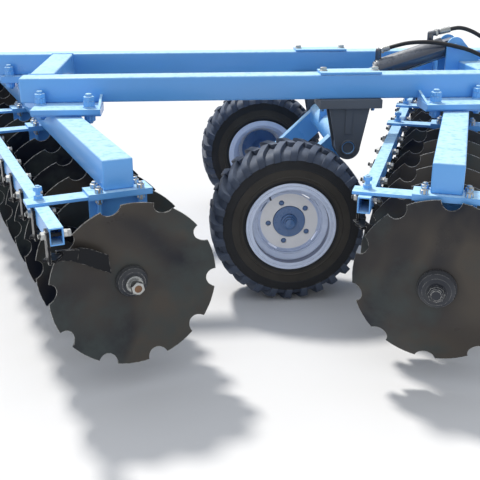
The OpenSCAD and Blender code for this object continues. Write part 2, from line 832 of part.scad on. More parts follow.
module rim() {
    seat = rim_d / 2 - 24;
    well = seat - 26;
    o = rim_w / 2;
    d = o - rim_dish;
    color(SILVER) difference() {
        spin_y() polygon([
            [rim_d / 2, o], [rim_d / 2, o - 6], [seat, o - 8], [seat, o - 40], [well, o - 62], [well, -o + 52],
            [seat, -o + 34], [seat, -o + 8], [rim_d / 2, -o + 6], [rim_d / 2, -o], [seat - 8, -o + 2],
            [seat - 8, -o + 38], [well - 8, -o + 56], [well - 8, d - 24], [128, d - rim_disc_t],
            [rim_bore_d / 2, d - rim_disc_t], [rim_bore_d / 2, d], [well - 26, d],
            [well - 8, d - 6], [well - 8, o - 66], [seat - 8, o - 44], [seat - 8, o - 2]]);
        at_studs() rod_y(stud_hole_d, 0, o);
        for (k = [0:3]) rotate([0, k * 90 - 58, 0]) translate([145, 0, -28]) cube([10, o, 56]);
    }
}

// the hub's face stands a little proud in the rim's bore and carries a stepped cap
module hub() {
    face = rim_w / 2 - rim_dish - rim_disc_t;
    top = face + rim_disc_t + 4;
    color(BLUE) difference() {
        union() {
            spin_y() polygon([[0, -hub_in], [56, -hub_in], [56, -hub_in + 14], [48, -hub_in + 20],
                [48, face - 60], [60, face - 14], [122, face - 14], [122, face], [78, face], [78, top],
                [39, top], [39, top + 10], [30, top + 12], [30, top + 24], [23, top + 26],
                [23, top + 36], [0, top + 40]]);
            at_studs() {
                rod_y(18, face - 20, face + rim_disc_t - 1);
                translate([0, face, 0]) rotate([-90, 0, 0]) cylinder(d = stud_hole_d - 2, h = 4, $fn = 6);
            }
        }
        rod_y(spindle_d + 2 * run_gap, -hub_in - 1, 50.5);
    }
}

module tyre_right() {
    at_wheel(-1) tyre();
}

module tyre_left() {
    at_wheel(1) tyre();
}

module rim_right() {
    at_wheel(-1) rim();
}

module rim_left() {
    at_wheel(1) rim();
}

module hub_right() {
    at_wheel(-1) hub();
}

module hub_left() {
    at_wheel(1) hub();
}

// Lift cylinder; local X from the cap pin to the rod pin

module at_cylinder() {
    translate([cap_pin_x, 0, cap_pin_z]) rotate([0, 180 - cylinder_drop, 0]) mirror([0, 0, 1]) children();
}

module rod_x(d, a, b) {
    translate([a, 0, 0]) rotate([0, 90, 0]) cylinder(d = d, h = b - a);
}

cap_gap = 0.5;
// the two plates stand 5 mm clear of the barrel
plate_in = barrel_d / 2 + 5;
plate_t = 14;
cap_eye_w = 70;

module cylinder_bracket() {
    color(BLUE) difference() {
        union() {
            for (a = [-plate_in - plate_t, plate_in]) plate_y(a, a + plate_t) {
                translate([cap_pin_x, cap_pin_z]) circle(r = 48);
                polygon([[cap_pin_x - 48, cap_pin_z], [cap_pin_x - 48, rail_bot + 10],
                    [mid_cross_x - rail_w / 2, rail_bot + 10], [mid_cross_x - rail_w / 2, rail_top],
                    [mid_cross_x + 55, rail_top], [cap_pin_x + 41, cap_pin_z + 25]]);
            }
            // pin with its heads and the two spacers beside the cylinder's eye
            translate([cap_pin_x, 0, cap_pin_z])
                rod_y(pin_d, -plate_in - plate_t - 14, plate_in + plate_t + 14);
            both_sides() translate([cap_pin_x, 0, cap_pin_z]) rod_y(58, cap_eye_w / 2 + cap_gap, plate_in + 2);
        }
    }
}

// a hose port: a boss on the barrel, an elbow and the ferrule that grips the hose
module port(x, foot, elbow, ferrule) {
    translate([x, 0, 0]) rod_z(34, foot, elbow[2]);
    translate(elbow) sphere(d = 34);
    v = ferrule - elbow;
    translate(elbow) rotate([0, 90 - atan2(v[2], norm([v[0], v[1]])), atan2(v[1], v[0])])
        cylinder(d = 30, h = norm(v));
}

module cylinder_barrel() {
    color(BLACK) for (p = PORTS) port(p[0][0], p[1], p[0], p[2]);
    color(BLACK) at_cylinder() difference() {
        union() {
            rod_x(barrel_d, barrel_from, barrel_to);
            rod_x(barrel_d - 16, barrel_to, gland_to);
            rod_y(70, -cap_eye_w / 2, cap_eye_w / 2);
            translate([0, -cap_eye_w / 2, -35]) cube([barrel_from + 1, cap_eye_w, 70]);
        }
        rod_y(pin_d + 2 * run_gap, -plate_in, plate_in);
        rod_x(rod_d + 2 * run_gap, 200, gland_to + 1);
    }
}

module cylinder_rod() {
    ear = lever_t / 2 + 2;
    color(ZINC) at_cylinder() {
        union() {
            rod_x(rod_d, 350, cylinder_l - 70);
            translate([cylinder_l - 80, -ear - 22, -35]) cube([26, 2 * ear + 44, 70]);
            for (u = [-1, 1]) translate([0, u * (ear + 11), 0]) {
                translate([cylinder_l - 60, -11, -35]) cube([60, 22, 70]);
                translate([cylinder_l, 0, 0]) rod_y(70, -11, 11);
            }
            translate([cylinder_l, 0, 0]) rod_y(pin_d, -ear - 34, ear + 34);
        }
    }
}

module stop_collars() {
    color(ZINC) at_cylinder() for (k = [0, 1]) difference() {
        rod_x(102, cylinder_l - 116 - 34 * k, cylinder_l - 83 - 34 * k);
        rod_x(rod_d + 2 * seat_gap, cylinder_l - 200, cylinder_l);
    }
}

// Drawbar

bar_w = 80;
bar_h = 100;
nose_y = 70;
lug_t = 20;
lug_r = 46;
// the eye is wide, because the screw's end drifts from its pin over the drawbar's travel
lug_eye_gap = 8;

module drawbar() {
    neck = lug_r + 8;
    neck_w = bar_w - 4;
    color(BLUE) difference() {
        union() {
            both_sides() {
                tube_bar([drawbar_x + neck, drawbar_y - neck * bar_lean, drawbar_z - neck * bar_fall],
                    [tip_x, nose_y, hitch_z], bar_w, bar_h, rail_wall);
                translate([drawbar_x, drawbar_y, drawbar_z]) {
                    rod_y(bar_h, -bar_w / 2, bar_w / 2);
                    rotate([0, atan(bar_fall), 0]) translate([0, -neck_w / 2, -bar_h / 2 + 4])
                        cube([neck + 30, neck_w, bar_h - 8]);
                }
            }
            // ties between the two legs
            for (x = [lug_x, jack_x]) {
                f = (x - drawbar_x) / (tip_x - drawbar_x);
                half = drawbar_y + (nose_y - drawbar_y) * f;
                z = drawbar_z + (hitch_z - drawbar_z) * f;
                translate([x - 60, -half, z - 40]) cube([120, 2 * half, 80]);
            }
            // lug of the levelling screw
            plate_y(-12, 12) {
                translate([lug_x, lug_z]) circle(r = 38);
                polygon([[lug_x - 38, lug_z], [lug_x + 38, lug_z],
                    [lug_x + 58, lug_z - 100], [lug_x - 58, lug_z - 100]]);
            }
        }
        translate([tip_x - 12, -300, hitch_z - 200]) cube([300, 600, 400]);
        translate([drawbar_x, 0, drawbar_z]) rod_y(2 * 20 + 2 * run_gap, -drawbar_y - bar_w, drawbar_y + bar_w);
        translate([lug_x, 0, lug_z]) rod_y(30 + 2 * lug_eye_gap, -20, 20);
        translate([jack_x, 0, 0]) rod_z(jack_d + 2 * seat_gap, 0, rail_top);
    }
}

// front cross tube's fittings: drawbar lugs with their pins and the mast of the levelling screw
module levelling_mast() {
    edge = rail_front;
    color(BLUE) {
        for (side = [-1, 1]) translate([0, side * drawbar_y, 0]) {
            for (u = [-1, 1]) {
                a = u > 0 ? bar_w / 2 + 2 : -bar_w / 2 - 2 - lug_t;
                plate_y(a, a + lug_t) {
                    translate([drawbar_x, drawbar_z]) circle(r = lug_r);
                    polygon([[edge, rail_bot - 10], [edge, rail_top - 20],
                        [drawbar_x, drawbar_z + lug_r], [drawbar_x, drawbar_z - lug_r]]);
                }
            }
            translate([drawbar_x, 0, drawbar_z]) rod_y(40, -bar_w / 2 - lug_t - 14, bar_w / 2 + lug_t + 14);
        }
        for (u = [-1, 1]) plate_y(u > 0 ? 32 : -46, u > 0 ? 46 : -32) {
            translate([mast_x, mast_z]) circle(r = 34);
            polygon([[front_cross_x - 56, rail_top], [front_cross_x + 56, rail_top],
                [mast_x + 34, mast_z], [mast_x - 34, mast_z]]);
        }
        translate([mast_x, 0, mast_z]) rod_y(30, -58, 58);
        // clip of the two hoses
        difference() {
            translate([clip_x - 12, hose_mid_y - 29, rail_top]) cube([24, 58, 28]);
            for (u = [-1, 1]) translate([0, hose_mid_y + u * 15, hose_rest_z])
                rod_x(hose_d + 2 * clip_gap, clip_x - 20, clip_x + 20);
        }
    }
}

module hitch_clevis() {
    color(GREY) difference() {
        union() {
            translate([tip_x - 12, -nose_y - bar_w / 2, hitch_z - 60]) cube([32, 2 * nose_y + bar_w, 120]);
            for (z = [hitch_z - 55, hitch_z + 30]) {
                translate([tip_x + 20, -50, z]) cube([hitch_x - tip_x - 20, 100, 25]);
                translate([hitch_x, 0, z]) cylinder(r = 50, h = 25);
            }
        }
        translate([hitch_x, 0, 0]) rod_z(hitch_hole_d, hitch_z - 80, hitch_z + 80);
    }
}

// Hoses; each runs in rigid stretches that meet beside the pins that they pass

function unit(v) = v / norm(v);

// smooth curve through the points of a route, with one point more between each two
function smooth(p) = concat([for (i = [0:len(p) - 2], t = [0, 0.5])
    let (a = p[max(i - 1, 0)], b = p[i], c = p[i + 1], d = p[min(i + 2, len(p) - 1)])
    b + (c - a) * t / 2 + (2 * a - 5 * b + 4 * c - d) * t * t / 2 + (3 * b - a - 3 * c + d) * t * t * t / 2],
    [p[len(p) - 1]]);

hose_sides = 10;

module hose(route) {
    p = smooth(route);
    last = len(p) - 1;
    points = [for (i = [0:last])
        let (t = unit(p[min(i + 1, last)] - p[max(i - 1, 0)]), s = unit(cross([0, 1, 0], t)), u = cross(t, s))
        for (k = [0:hose_sides - 1])
            p[i] + hose_d / 2 * (cos(k * 360 / hose_sides) * s + sin(k * 360 / hose_sides) * u)];
    sides = [for (i = [0:last - 1], k = [0:hose_sides - 1], half = [0, 1])
        let (a = i * hose_sides + k, b = i * hose_sides + (k + 1) % hose_sides)
        half == 0 ? [a, b, b + hose_sides] : [a, b + hose_sides, a + hose_sides]];
    caps = [[for (k = [hose_sides - 1:-1:0]) k], [for (k = [0:hose_sides - 1]) last * hose_sides + k]];
    color(RUBBER) polyhedron(points, [for (f = concat(sides, caps)) [for (k = [len(f) - 1:-1:0]) f[k]]]);
}

// one of two hoses beside each other: u is -1 or 1, a route's fourth value is half their distance
function lane(run, u) = [for (p = run) [p[0], p[1] + u * p[3], p[2]]];

module cylinder_hose() {
    hose(CYLINDER_RUN);
}

module frame_hoses() {
    hose(concat(ROD_SIDE_RUN, lane(FRAME_RUN, -1)));
    hose(concat(CAP_SIDE_RUN, lane(FRAME_RUN, 1)));
}

// along the right leg's top face, at u from its middle
leg_v = [tip_x - drawbar_x, drawbar_y - nose_y, hitch_z - drawbar_z];
leg_side = unit([-leg_v[1], leg_v[0], 0]);
leg_up = cross(unit(leg_v), leg_side);
leg_spread = 20;
leg_lift = hose_d / 2 + 6;
clip_gap = 0.8;
coupler_x = 3060;
coupler_lift = 24;

function leg_at(x, u, up) = [drawbar_x, -drawbar_y, drawbar_z] + leg_v * (x - drawbar_x) / leg_v[0]
    + u * leg_side + (bar_h / 2 + up) * leg_up;

module on_leg(x) {
    translate(leg_at(x, 0, 0)) rotate([0, -atan2(leg_v[2], norm([leg_v[0], leg_v[1]])), atan2(leg_v[1], leg_v[0])])
        children();
}

module drawbar_hoses() {
    for (u = [-1, 1]) hose(concat(lane(LOOP_RUN, u),
        [for (x = [1955, 2000, 2265, 2530, 2795, 2900, 2965]) leg_at(x, u * leg_spread, leg_lift)],
        [for (x = [coupler_x - 45, coupler_x - 20, coupler_x]) leg_at(x, u * leg_spread, coupler_lift)]));
}

module hose_couplers() {
    color(ZINC) on_leg(coupler_x) for (u = [-1, 1]) translate([0, u * leg_spread, coupler_lift]) {
        rod_x(30, 2 * seat_gap, 40);
        translate([40, 0, 0]) rotate([0, 90, 0]) cylinder(d = 36, h = 30, $fn = 6);
        rod_x(28, 70, 110);
    }
    // bracket that carries the couplers, and the clips along the leg
    color(BLUE) on_leg(coupler_x) difference() {
        translate([46, -44, 0]) cube([12, 88, coupler_lift + 24]);
        for (u = [-1, 1]) translate([0, u * leg_spread, coupler_lift]) rod_x(36 + seat_gap, 40, 70);
    }
    color(BLUE) for (x = [2030, 2450, 2870]) on_leg(x) difference() {
        translate([-12, -35, 0]) cube([24, 70, leg_lift + hose_d / 2 + 5]);
        for (u = [-1, 1]) translate([0, u * leg_spread, leg_lift]) rod_x(hose_d + 2 * clip_gap, -20, 20);
    }
}

// Parking jack

jack_d = 76;
jack_in_d = 60;
jack_below = 260;
jack_above = 330;
jack_cap_t = 22;
jack_leg_l = 700;
jack_foot_d = 220;
jack_foot_t = 12;
jack_mid_z = drawbar_z - (jack_x - drawbar_x) * bar_fall;

module jack_sleeve() {
    color(BLUE) translate([jack_x, 0, jack_mid_z]) difference() {
        union() {
            rod_z(jack_d, -jack_below, jack_above);
            rod_z(jack_d + 10, jack_above, jack_above + jack_cap_t);
        }
        rod_z(jack_in_d + 2 * run_gap, -jack_below - 1, jack_above - 10);
    }
}

module jack_leg() {
    color(ZINC) translate([jack_x, 0, 0]) {
        rod_z(jack_in_d, jack_foot_t - 2, jack_leg_l);
        rod_z(jack_foot_d, 0, jack_foot_t);
    }
}

// Levelling screw; local X from the mast pin to the lug pin

sleeve_to = 520;
screw_d = 36;
screw_from = 400;

module at_screw() {
    translate([mast_x, 0, mast_z]) rotate([0, screw_drop, 0]) children();
}

module screw_sleeve() {
    color(BLUE) at_screw() difference() {
        union() {
            rod_y(56, -31, 31);
            translate([0, -31, -28]) cube([60, 62, 56]);
            rod_x(60, 60, sleeve_to);
        }
        rod_y(30 + 2 * run_gap, -40, 40);
        rod_x(screw_d + 2 * run_gap, screw_from - 100, sleeve_to + 1);
    }
}

module screw_rod() {
    color(ZINC) at_screw() union() {
        rod_x(screw_d, screw_from, screw_l - 60);
        translate([screw_l - 80, -36, -25]) cube([30, 72, 50]);
        for (u = [-1, 1]) translate([0, u * 25, 0]) {
            translate([screw_l - 60, -11, -25]) cube([60, 22, 50]);
            translate([screw_l, 0, 0]) rod_y(50, -11, 11);
        }
        translate([screw_l, 0, 0]) rod_y(30, -46, 46);
    }
}

// What is drawn

placed() rail_right();
placed() rail_left();
placed() cross_tubes();
placed() gang_clamps();
placed() front_gang_beam();
placed() rear_gang_beam();
placed() front_hangers();
placed() rear_hangers();
placed() front_bearings();
placed() rear_bearings();
placed() front_scraper_bar();
placed() rear_scraper_bar();
placed() front_scrapers();
placed() rear_scrapers();
placed() axle_brackets();
placed() axle_clamps();
placed() cylinder_bracket();
placed() levelling_mast();
placed() front_right_discs();
placed() front_left_discs();
placed() rear_right_discs();
placed() rear_left_discs();
placed() front_right_spools();
placed() front_left_spools();
placed() rear_right_spools();
placed() rear_left_spools();
placed() front_right_shaft();
placed() front_left_shaft();
placed() rear_right_shaft();
placed() rear_left_shaft();
placed() rockshaft();
placed() spindles();
placed() tyre_right();
placed() tyre_left();
placed() rim_right();
placed() rim_left();
placed() hub_right();
placed() hub_left();
placed() cylinder_barrel();
placed() cylinder_rod();
placed() stop_collars();
placed() cylinder_hose();
placed() frame_hoses();
placed() drawbar_hoses();
placed() hose_couplers();
placed() drawbar();
placed() hitch_clevis();
placed() jack_sleeve();
placed() jack_leg();
placed() screw_sleeve();
placed() screw_rod();
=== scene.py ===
# Looks of the trailed disc harrow: paint, rubber, steel and the small parts that are too fine for the
# solids. Everything is in metres, with X to the hitch, Y to the machine's left and Z up.
import math

import bmesh
import bpy
from mathutils import Matrix, Vector


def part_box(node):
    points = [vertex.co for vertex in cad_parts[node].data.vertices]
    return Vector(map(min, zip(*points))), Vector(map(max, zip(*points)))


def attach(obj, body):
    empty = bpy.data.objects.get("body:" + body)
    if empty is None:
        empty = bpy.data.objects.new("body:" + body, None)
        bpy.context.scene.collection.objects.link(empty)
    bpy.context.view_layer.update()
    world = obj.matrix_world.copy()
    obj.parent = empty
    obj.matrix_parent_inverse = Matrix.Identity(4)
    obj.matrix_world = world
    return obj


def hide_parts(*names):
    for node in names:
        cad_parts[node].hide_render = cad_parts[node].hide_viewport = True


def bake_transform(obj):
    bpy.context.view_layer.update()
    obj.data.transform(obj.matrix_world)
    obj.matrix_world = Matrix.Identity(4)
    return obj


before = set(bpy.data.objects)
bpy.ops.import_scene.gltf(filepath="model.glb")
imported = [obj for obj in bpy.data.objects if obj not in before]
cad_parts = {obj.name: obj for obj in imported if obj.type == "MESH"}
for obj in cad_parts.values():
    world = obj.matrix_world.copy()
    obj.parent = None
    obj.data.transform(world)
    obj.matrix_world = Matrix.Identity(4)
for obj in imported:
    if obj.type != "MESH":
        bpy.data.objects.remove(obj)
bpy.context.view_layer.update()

# Viewpoint: somebody of middle height stands beside the machine's right-hand wheel, a little behind it,
# and looks slightly down along the line between the two gangs.
half_track = 0.697
rim_low, rim_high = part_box("rim_right")
wheel_middle = (rim_low + rim_high) / 2


def spot(x, y, z):
    """A point measured from the ground below the middle between the two wheels."""
    return Vector((wheel_middle.x + x, wheel_middle.y + half_track + y, z))


camera_data = bpy.data.cameras.new("viewpoint")
camera_data.lens = 58.8
camera_data.sensor_width = 36.0
camera = bpy.data.objects.new("viewpoint", camera_data)
camera.location = spot(-0.500, -4.345, 1.671)
camera.rotation_euler = (math.radians(69.2), 0.0, math.radians(-4.11))
bpy.context.scene.collection.objects.link(camera)
bpy.context.scene.camera = camera
bpy.context.scene.view_settings.view_transform = "Standard"


# Light and floor: a pale yard floor under soft daylight that comes from behind and above the machine,
# so that the top faces are bright and the faces turned to the viewer lie in even shade.
def plug(tree, node, **sockets):
    """Sets sockets, by name or as i and a place, to a number, a colour or another node's output."""
    for name, value in sockets.items():
        by_place = name[0] == "i" and name[1:].isdigit()
        socket = node.inputs[int(name[1:])] if by_place else node.inputs[name.replace("_", " ")]
        if isinstance(value, bpy.types.NodeSocket):
            tree.links.new(value, socket)
        else:
            socket.default_value = value


def add(tree, kind, settings=None, **sockets):
    """One shader node with its settings and its sockets."""
    node = tree.nodes.new(kind)
    for name, value in (settings or {}).items():
        setattr(node, name, value)
    plug(tree, node, **sockets)
    return node


def finish_material(name):
    """An empty material with its node tree and its Principled shader."""
    material = bpy.data.materials.new(name)
    material.use_nodes = True
    return material, material.node_tree, material.node_tree.nodes["Principled BSDF"]


floor_data = bpy.data.meshes.new("yard_floor")
floor_mesh = bmesh.new()
bmesh.ops.create_circle(floor_mesh, cap_ends=True, radius=45.0, segments=96)
floor_mesh.to_mesh(floor_data)
floor_mesh.free()
yard_floor = bpy.data.objects.new("yard_floor", floor_data)
bpy.context.scene.collection.objects.link(yard_floor)
pale_yard, yard_tree, yard_shader = finish_material("pale_yard")
yard_place = add(yard_tree, "ShaderNodeTexCoord").outputs["Object"]
yard_patches = add(yard_tree, "ShaderNodeTexNoise", Vector=yard_place, Scale=0.9, Detail=6.0).outputs["Fac"]
yard_colour = add(yard_tree, "ShaderNodeValToRGB", Fac=yard_patches)
yard_colour.color_ramp.elements[0].color = (0.70, 0.70, 0.70, 1)
yard_colour.color_ramp.elements[1].color = (0.76, 0.76, 0.77, 1)
plug(yard_tree, yard_shader, Base_Color=yard_colour.outputs["Color"], Roughness=0.9, Specular_IOR_Level=0.1)
yard_floor.data.materials.append(pale_yard)

daylight = bpy.data.worlds.new("daylight")
daylight.use_nodes = True
plug(daylight.node_tree, daylight.node_tree.nodes["Background"], Color=(0.90, 0.94, 1.0, 1), Strength=0.80)
bpy.context.scene.world = daylight

sun_data = bpy.data.lights.new("soft_sun", "SUN")
sun_data.energy = 3.0
sun_data.angle = math.radians(7)
sun_data.color = (1.0, 0.97, 0.92)
soft_sun = bpy.data.objects.new("soft_sun", sun_data)
soft_sun.rotation_euler = Vector((-0.30, 0.62, 1.0)).to_track_quat("Z", "Y").to_euler()
bpy.context.scene.collection.objects.link(soft_sun)


# Main frame: two long square tubes and three cross tubes, 120 mm square, welded and sprayed blue.
# The tubes have round corners, as rolled hollow section has, and a weld bead runs round each joint.
def shader_group(name, inputs, outputs):
    """An empty node group: its inputs are numbers, and each output has its own kind."""
    group = bpy.data.node_groups.new(name, "ShaderNodeTree")
    for socket, start in inputs.items():
        number = group.interface.new_socket(socket, in_out="INPUT", socket_type="NodeSocketFloat")
        number.default_value = start
    for socket, kind in outputs.items():
        group.interface.new_socket(socket, in_out="OUTPUT", socket_type=kind)
    return group, add(group, "NodeGroupInput").outputs, add(group, "NodeGroupOutput")


def ranged(tree, value, low, high, to_low=0.0, to_high=1.0):
    """A value stretched from one range onto another, and held inside it."""
    return add(tree, "ShaderNodeMapRange", Value=value, From_Min=low, From_Max=high, To_Min=to_low,
               To_Max=to_high).outputs["Result"]


def reckoned(tree, operation, first, second):
    """The sum, difference or product of two values."""
    return add(tree, "ShaderNodeMath", {"operation": operation}, i0=first, i1=second).outputs["Value"]


def mixed(tree, share, first, second, way="MIX"):
    """Two colours mixed; each is three numbers or another node's output."""
    first, second = (c if isinstance(c, bpy.types.NodeSocket) else (*c, 1) for c in (first, second))
    return add(tree, "ShaderNodeMix", {"data_type": "RGBA", "blend_type": way}, i0=share, i6=first,
               i7=second).outputs[2]


def relief(tree, strength, depth, height, **under):
    """A fine relief in the normal, over another normal where one is given."""
    return add(tree, "ShaderNodeBump", Strength=strength, Distance=depth, Height=height,
               **under).outputs["Normal"]


def film_group():
    """Settled dust and painted sunlight on what faces up, cloudy colour, and the fine unevenness of a
    sprayed coat.
    """
    group, given, leave = shader_group("film", {"Dust": 0.3, "Cloud size": 2.0, "Grain size": 300.0},
                                       {"Dust": "NodeSocketFloat", "Cloud": "NodeSocketFloat",
                                        "Grain": "NodeSocketFloat"})
    place = add(group, "ShaderNodeTexCoord").outputs["Object"]
    facing = add(group, "ShaderNodeNewGeometry").outputs["Normal"]
    up = add(group, "ShaderNodeSeparateXYZ", Vector=facing).outputs["Z"]
    specks = add(group, "ShaderNodeTexNoise", Vector=place, Scale=38.0, Detail=8.0).outputs["Fac"]
    # what faces up is made lighter: settled dust, and painted sunlight on the top faces
    dust_and_sunlit_tops = reckoned(group, "MULTIPLY", ranged(group, up, 0.2, 0.95), ranged(group, specks, 0.08, 0.54))
    cloud = add(group, "ShaderNodeTexNoise", Vector=place, Scale=given["Cloud size"], Detail=5.0,
                Roughness=0.6).outputs["Fac"]
    grain = add(group, "ShaderNodeTexNoise", Vector=place, Scale=given["Grain size"],
                Detail=2.0).outputs["Fac"]
    plug(group, leave, Dust=reckoned(group, "MULTIPLY", dust_and_sunlit_tops, given["Dust"]), Cloud=cloud, Grain=grain)
    return group


film = film_group()


def edge_group():
    """Where an edge is: the rounded normal there leaves the flat one. Noise breaks the line up."""
    group, given, leave = shader_group("edge_wear_and_glint", {"Width": 0.004, "Amount": 0.5, "Breaks": 0.58},
                                       {"Edge": "NodeSocketFloat", "Normal": "NodeSocketVector"})
    place = add(group, "ShaderNodeTexCoord").outputs["Object"]
    flat = add(group, "ShaderNodeNewGeometry").outputs["Normal"]
    rounded = add(group, "ShaderNodeBevel", {"samples": 4}, Radius=given["Width"]).outputs["Normal"]
    turn = add(group, "ShaderNodeVectorMath", {"operation": "DOT_PRODUCT"}, i0=flat, i1=rounded)
    chips = add(group, "ShaderNodeTexNoise", Vector=place, Scale=60.0, Detail=6.0).outputs["Fac"]
    soft_step = 0.06
    broken = ranged(group, chips, reckoned(group, "SUBTRACT", given["Breaks"], soft_step),
                    reckoned(group, "ADD", given["Breaks"], soft_step))
    edge = reckoned(group, "MULTIPLY", ranged(group, turn.outputs["Value"], 0.995, 0.90), broken)
    plug(group, leave, Edge=reckoned(group, "MULTIPLY", edge, given["Amount"]), Normal=rounded)
    return group


edge_wear_and_glint = edge_group()


def sprayed_paint(name, colour, dust_and_sunlit_colour, wear_and_glint, dust=0.35, gloss=0.32, edge=0.4, cloud=1.6, coat=0.25, peel=0.02,
                  breaks=0.58, spread=0.13, shine=0.5):
    """Sprayed machine paint: cloudy colour, dust and painted sunlight on top, chipped edges (bright ones a
    painted glint), orange peel.
    """
    material, tree, shader = finish_material(name)
    surface = add(tree, "ShaderNodeGroup", {"node_tree": film}, Dust=dust, Cloud_size=cloud).outputs
    edges = add(tree, "ShaderNodeGroup", {"node_tree": edge_wear_and_glint}, Width=0.003, Amount=edge,
                Breaks=breaks).outputs
    tint = mixed(tree, surface["Cloud"], [c * (1 - spread) for c in colour],
                 [min(1.0, c * (1 + spread)) for c in colour])
    dusty_and_sunlit = mixed(tree, surface["Dust"], tint, dust_and_sunlit_colour)
    rough = ranged(tree, surface["Cloud"], 0.3, 0.7, gloss - 0.07, gloss + 0.12)
    # the edge colour: a dark one is chipped paint, a bright one is a painted glint along the edges
    plug(tree, shader, Base_Color=mixed(tree, edges["Edge"], dusty_and_sunlit, wear_and_glint),
         Roughness=reckoned(tree, "ADD", rough, surface["Dust"]),
         Normal=relief(tree, peel * 6, 0.0008, surface["Grain"], Normal=edges["Normal"]),
         Coat_Weight=coat, Coat_Roughness=0.18, Specular_IOR_Level=shine)
    return material


# The pale cyan top colour paints sunlight on the top faces, together with dust.
blue_paint = sprayed_paint("blue_paint", (0.118, 0.375, 0.80), (0.66, 0.93, 1.0), (0.20, 0.22, 0.25),
                           dust=0.66)


def node_copy(node):
    """A node's own surface, with the facets of each flat face joined."""
    mesh = bmesh.new()
    mesh.from_mesh(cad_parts[node].data)
    bmesh.ops.remove_doubles(mesh, verts=mesh.verts, dist=1e-5)
    bmesh.ops.dissolve_limit(mesh, angle_limit=0.01, verts=mesh.verts, edges=mesh.edges)
    return mesh


def eased_copy(node, radius):
    """A node's own outer surface with its square corners rounded."""
    mesh = node_copy(node)
    square = [e for e in mesh.edges if len(e.link_faces) == 2 and e.calc_face_angle() > 0.7]
    bmesh.ops.bevel(mesh, geom=square, offset=radius, segments=3, profile=0.5, affect="EDGES",
                    clamp_overlap=True)
    return mesh


def add_piece(name, mesh, materials, body, stands_for=(), smooth=40):
    """Turns a finished mesh into a piece of the machine; a piece between two bodies rides on none yet."""
    data = bpy.data.meshes.new(name)
    mesh.to_mesh(data)
    mesh.free()
    for one in materials:
        data.materials.append(one)
    data.shade_smooth()
    data.set_sharp_from_angle(angle=math.radians(smooth))
    piece = bpy.data.objects.new(name, data)
    bpy.context.scene.collection.objects.link(piece)
    if body:
        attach(piece, body)
    if stands_for:
        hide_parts(*stands_for)
    return piece


def paint_node(node, material):
    """A solid whose shape is right keeps its mesh and takes a finish."""
    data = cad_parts[node].data
    data.materials.clear()
    data.materials.append(material)


def sweep(mesh, run, radius, sides=8):
    """Skins a round bar along a run of points; radius is a number, or a function of the ring's number."""
    rings = []
    across = None
    turns = [k * math.tau / sides for k in range(sides)]
    for i, point in enumerate(run):
        ahead = (run[min(i + 1, len(run) - 1)] - run[max(i - 1, 0)]).normalized()
        across = ahead.orthogonal() if across is None else across - ahead * across.dot(ahead)
        across.normalize()
        beside = ahead.cross(across)
        r = radius(i) if callable(radius) else radius
        ring = [point + r * (math.cos(a) * across + math.sin(a) * beside) for a in turns]
        rings.append([mesh.verts.new(corner) for corner in ring])
    for low, high in zip(rings, rings[1:]):
        for k in range(sides):
            mesh.faces.new((low[k], low[(k + 1) % sides], high[(k + 1) % sides], high[k]))
    mesh.faces.new(rings[0][::-1])
    mesh.faces.new(rings[-1])


def even_steps(corners, step):
    """Points at even steps along straight lines between corners."""
    run = [corners[0]]
    for a, b in zip(corners, corners[1:]):
        parts = max(1, round((b - a).length / step))
        run += [a.lerp(b, (k + 1) / parts) for k in range(parts)]
    return run


def weld_bead(mesh, corners, leg=0.0045):
    """A fillet weld: a low bead whose thickness swells once for each drop of the electrode."""
    ripple = 0.006
    run = even_steps([Vector(c) for c in corners], ripple / 2)
    sweep(mesh, run, lambda i: leg * (1.0 if i % 2 else 0.82), sides=6)


def square_loop(middle, first, second):
    """The corners round a rectangle, given by its middle and its two half sides."""
    return [middle - first - second, middle + first - second, middle + first + second,
            middle - first + second, middle - first - second]


for tube in ("rail_right", "rail_left", "cross_tubes"):
    add_piece(tube + "_section", eased_copy(tube, 0.009), [blue_paint], "frame", [tube])

half_tube = 0.060
tube_middle_z = 1.002
cross_places = (-1.199, 1.070, 1.440)
rail_inner = 0.382
frame_welds = bmesh.new()
for x in cross_places:
    for side in (-1, 1):
        weld_bead(frame_welds, square_loop(spot(x, side * rail_inner, tube_middle_z),
                                           Vector((half_tube, 0, 0)), Vector((0, 0, half_tube))))
add_piece("frame_welds", frame_welds, [blue_paint], "frame")


# Gang clamps: a plate under each rail with a pad and a gusset, drawn onto the gang beam by four painted
# steel bolts with nut and lock nut. The cut threads of the bolts stand out of the nuts.
def turned(mesh, profile, place, sides=36, finish=0):
    """A shape turned about its own axis from (height, radius) points; place puts that axis where it goes."""
    rings = []
    for height, radius in profile:
        turns = [k * math.tau / sides for k in range(sides)] if radius else [0]
        rings.append([mesh.verts.new(place @ Vector((radius * math.cos(a), radius * math.sin(a), height)))
                      for a in turns])
    for low, high in zip(rings, rings[1:]):
        for k in range(sides):
            here, there = low[k % len(low)], low[(k + 1) % len(low)]
            over_there, over_here = high[(k + 1) % len(high)], high[k % len(high)]
            corners = list(dict.fromkeys((here, there, over_there, over_here)))
            if len(corners) > 2:
                mesh.faces.new(corners).material_index = finish


def standing(point, axis=(0, 0, 1)):
    """The place of a turned part whose axis leaves a point in a given direction."""
    return Matrix.Translation(point) @ Vector(axis).to_track_quat("Z", "Y").to_matrix().to_4x4()


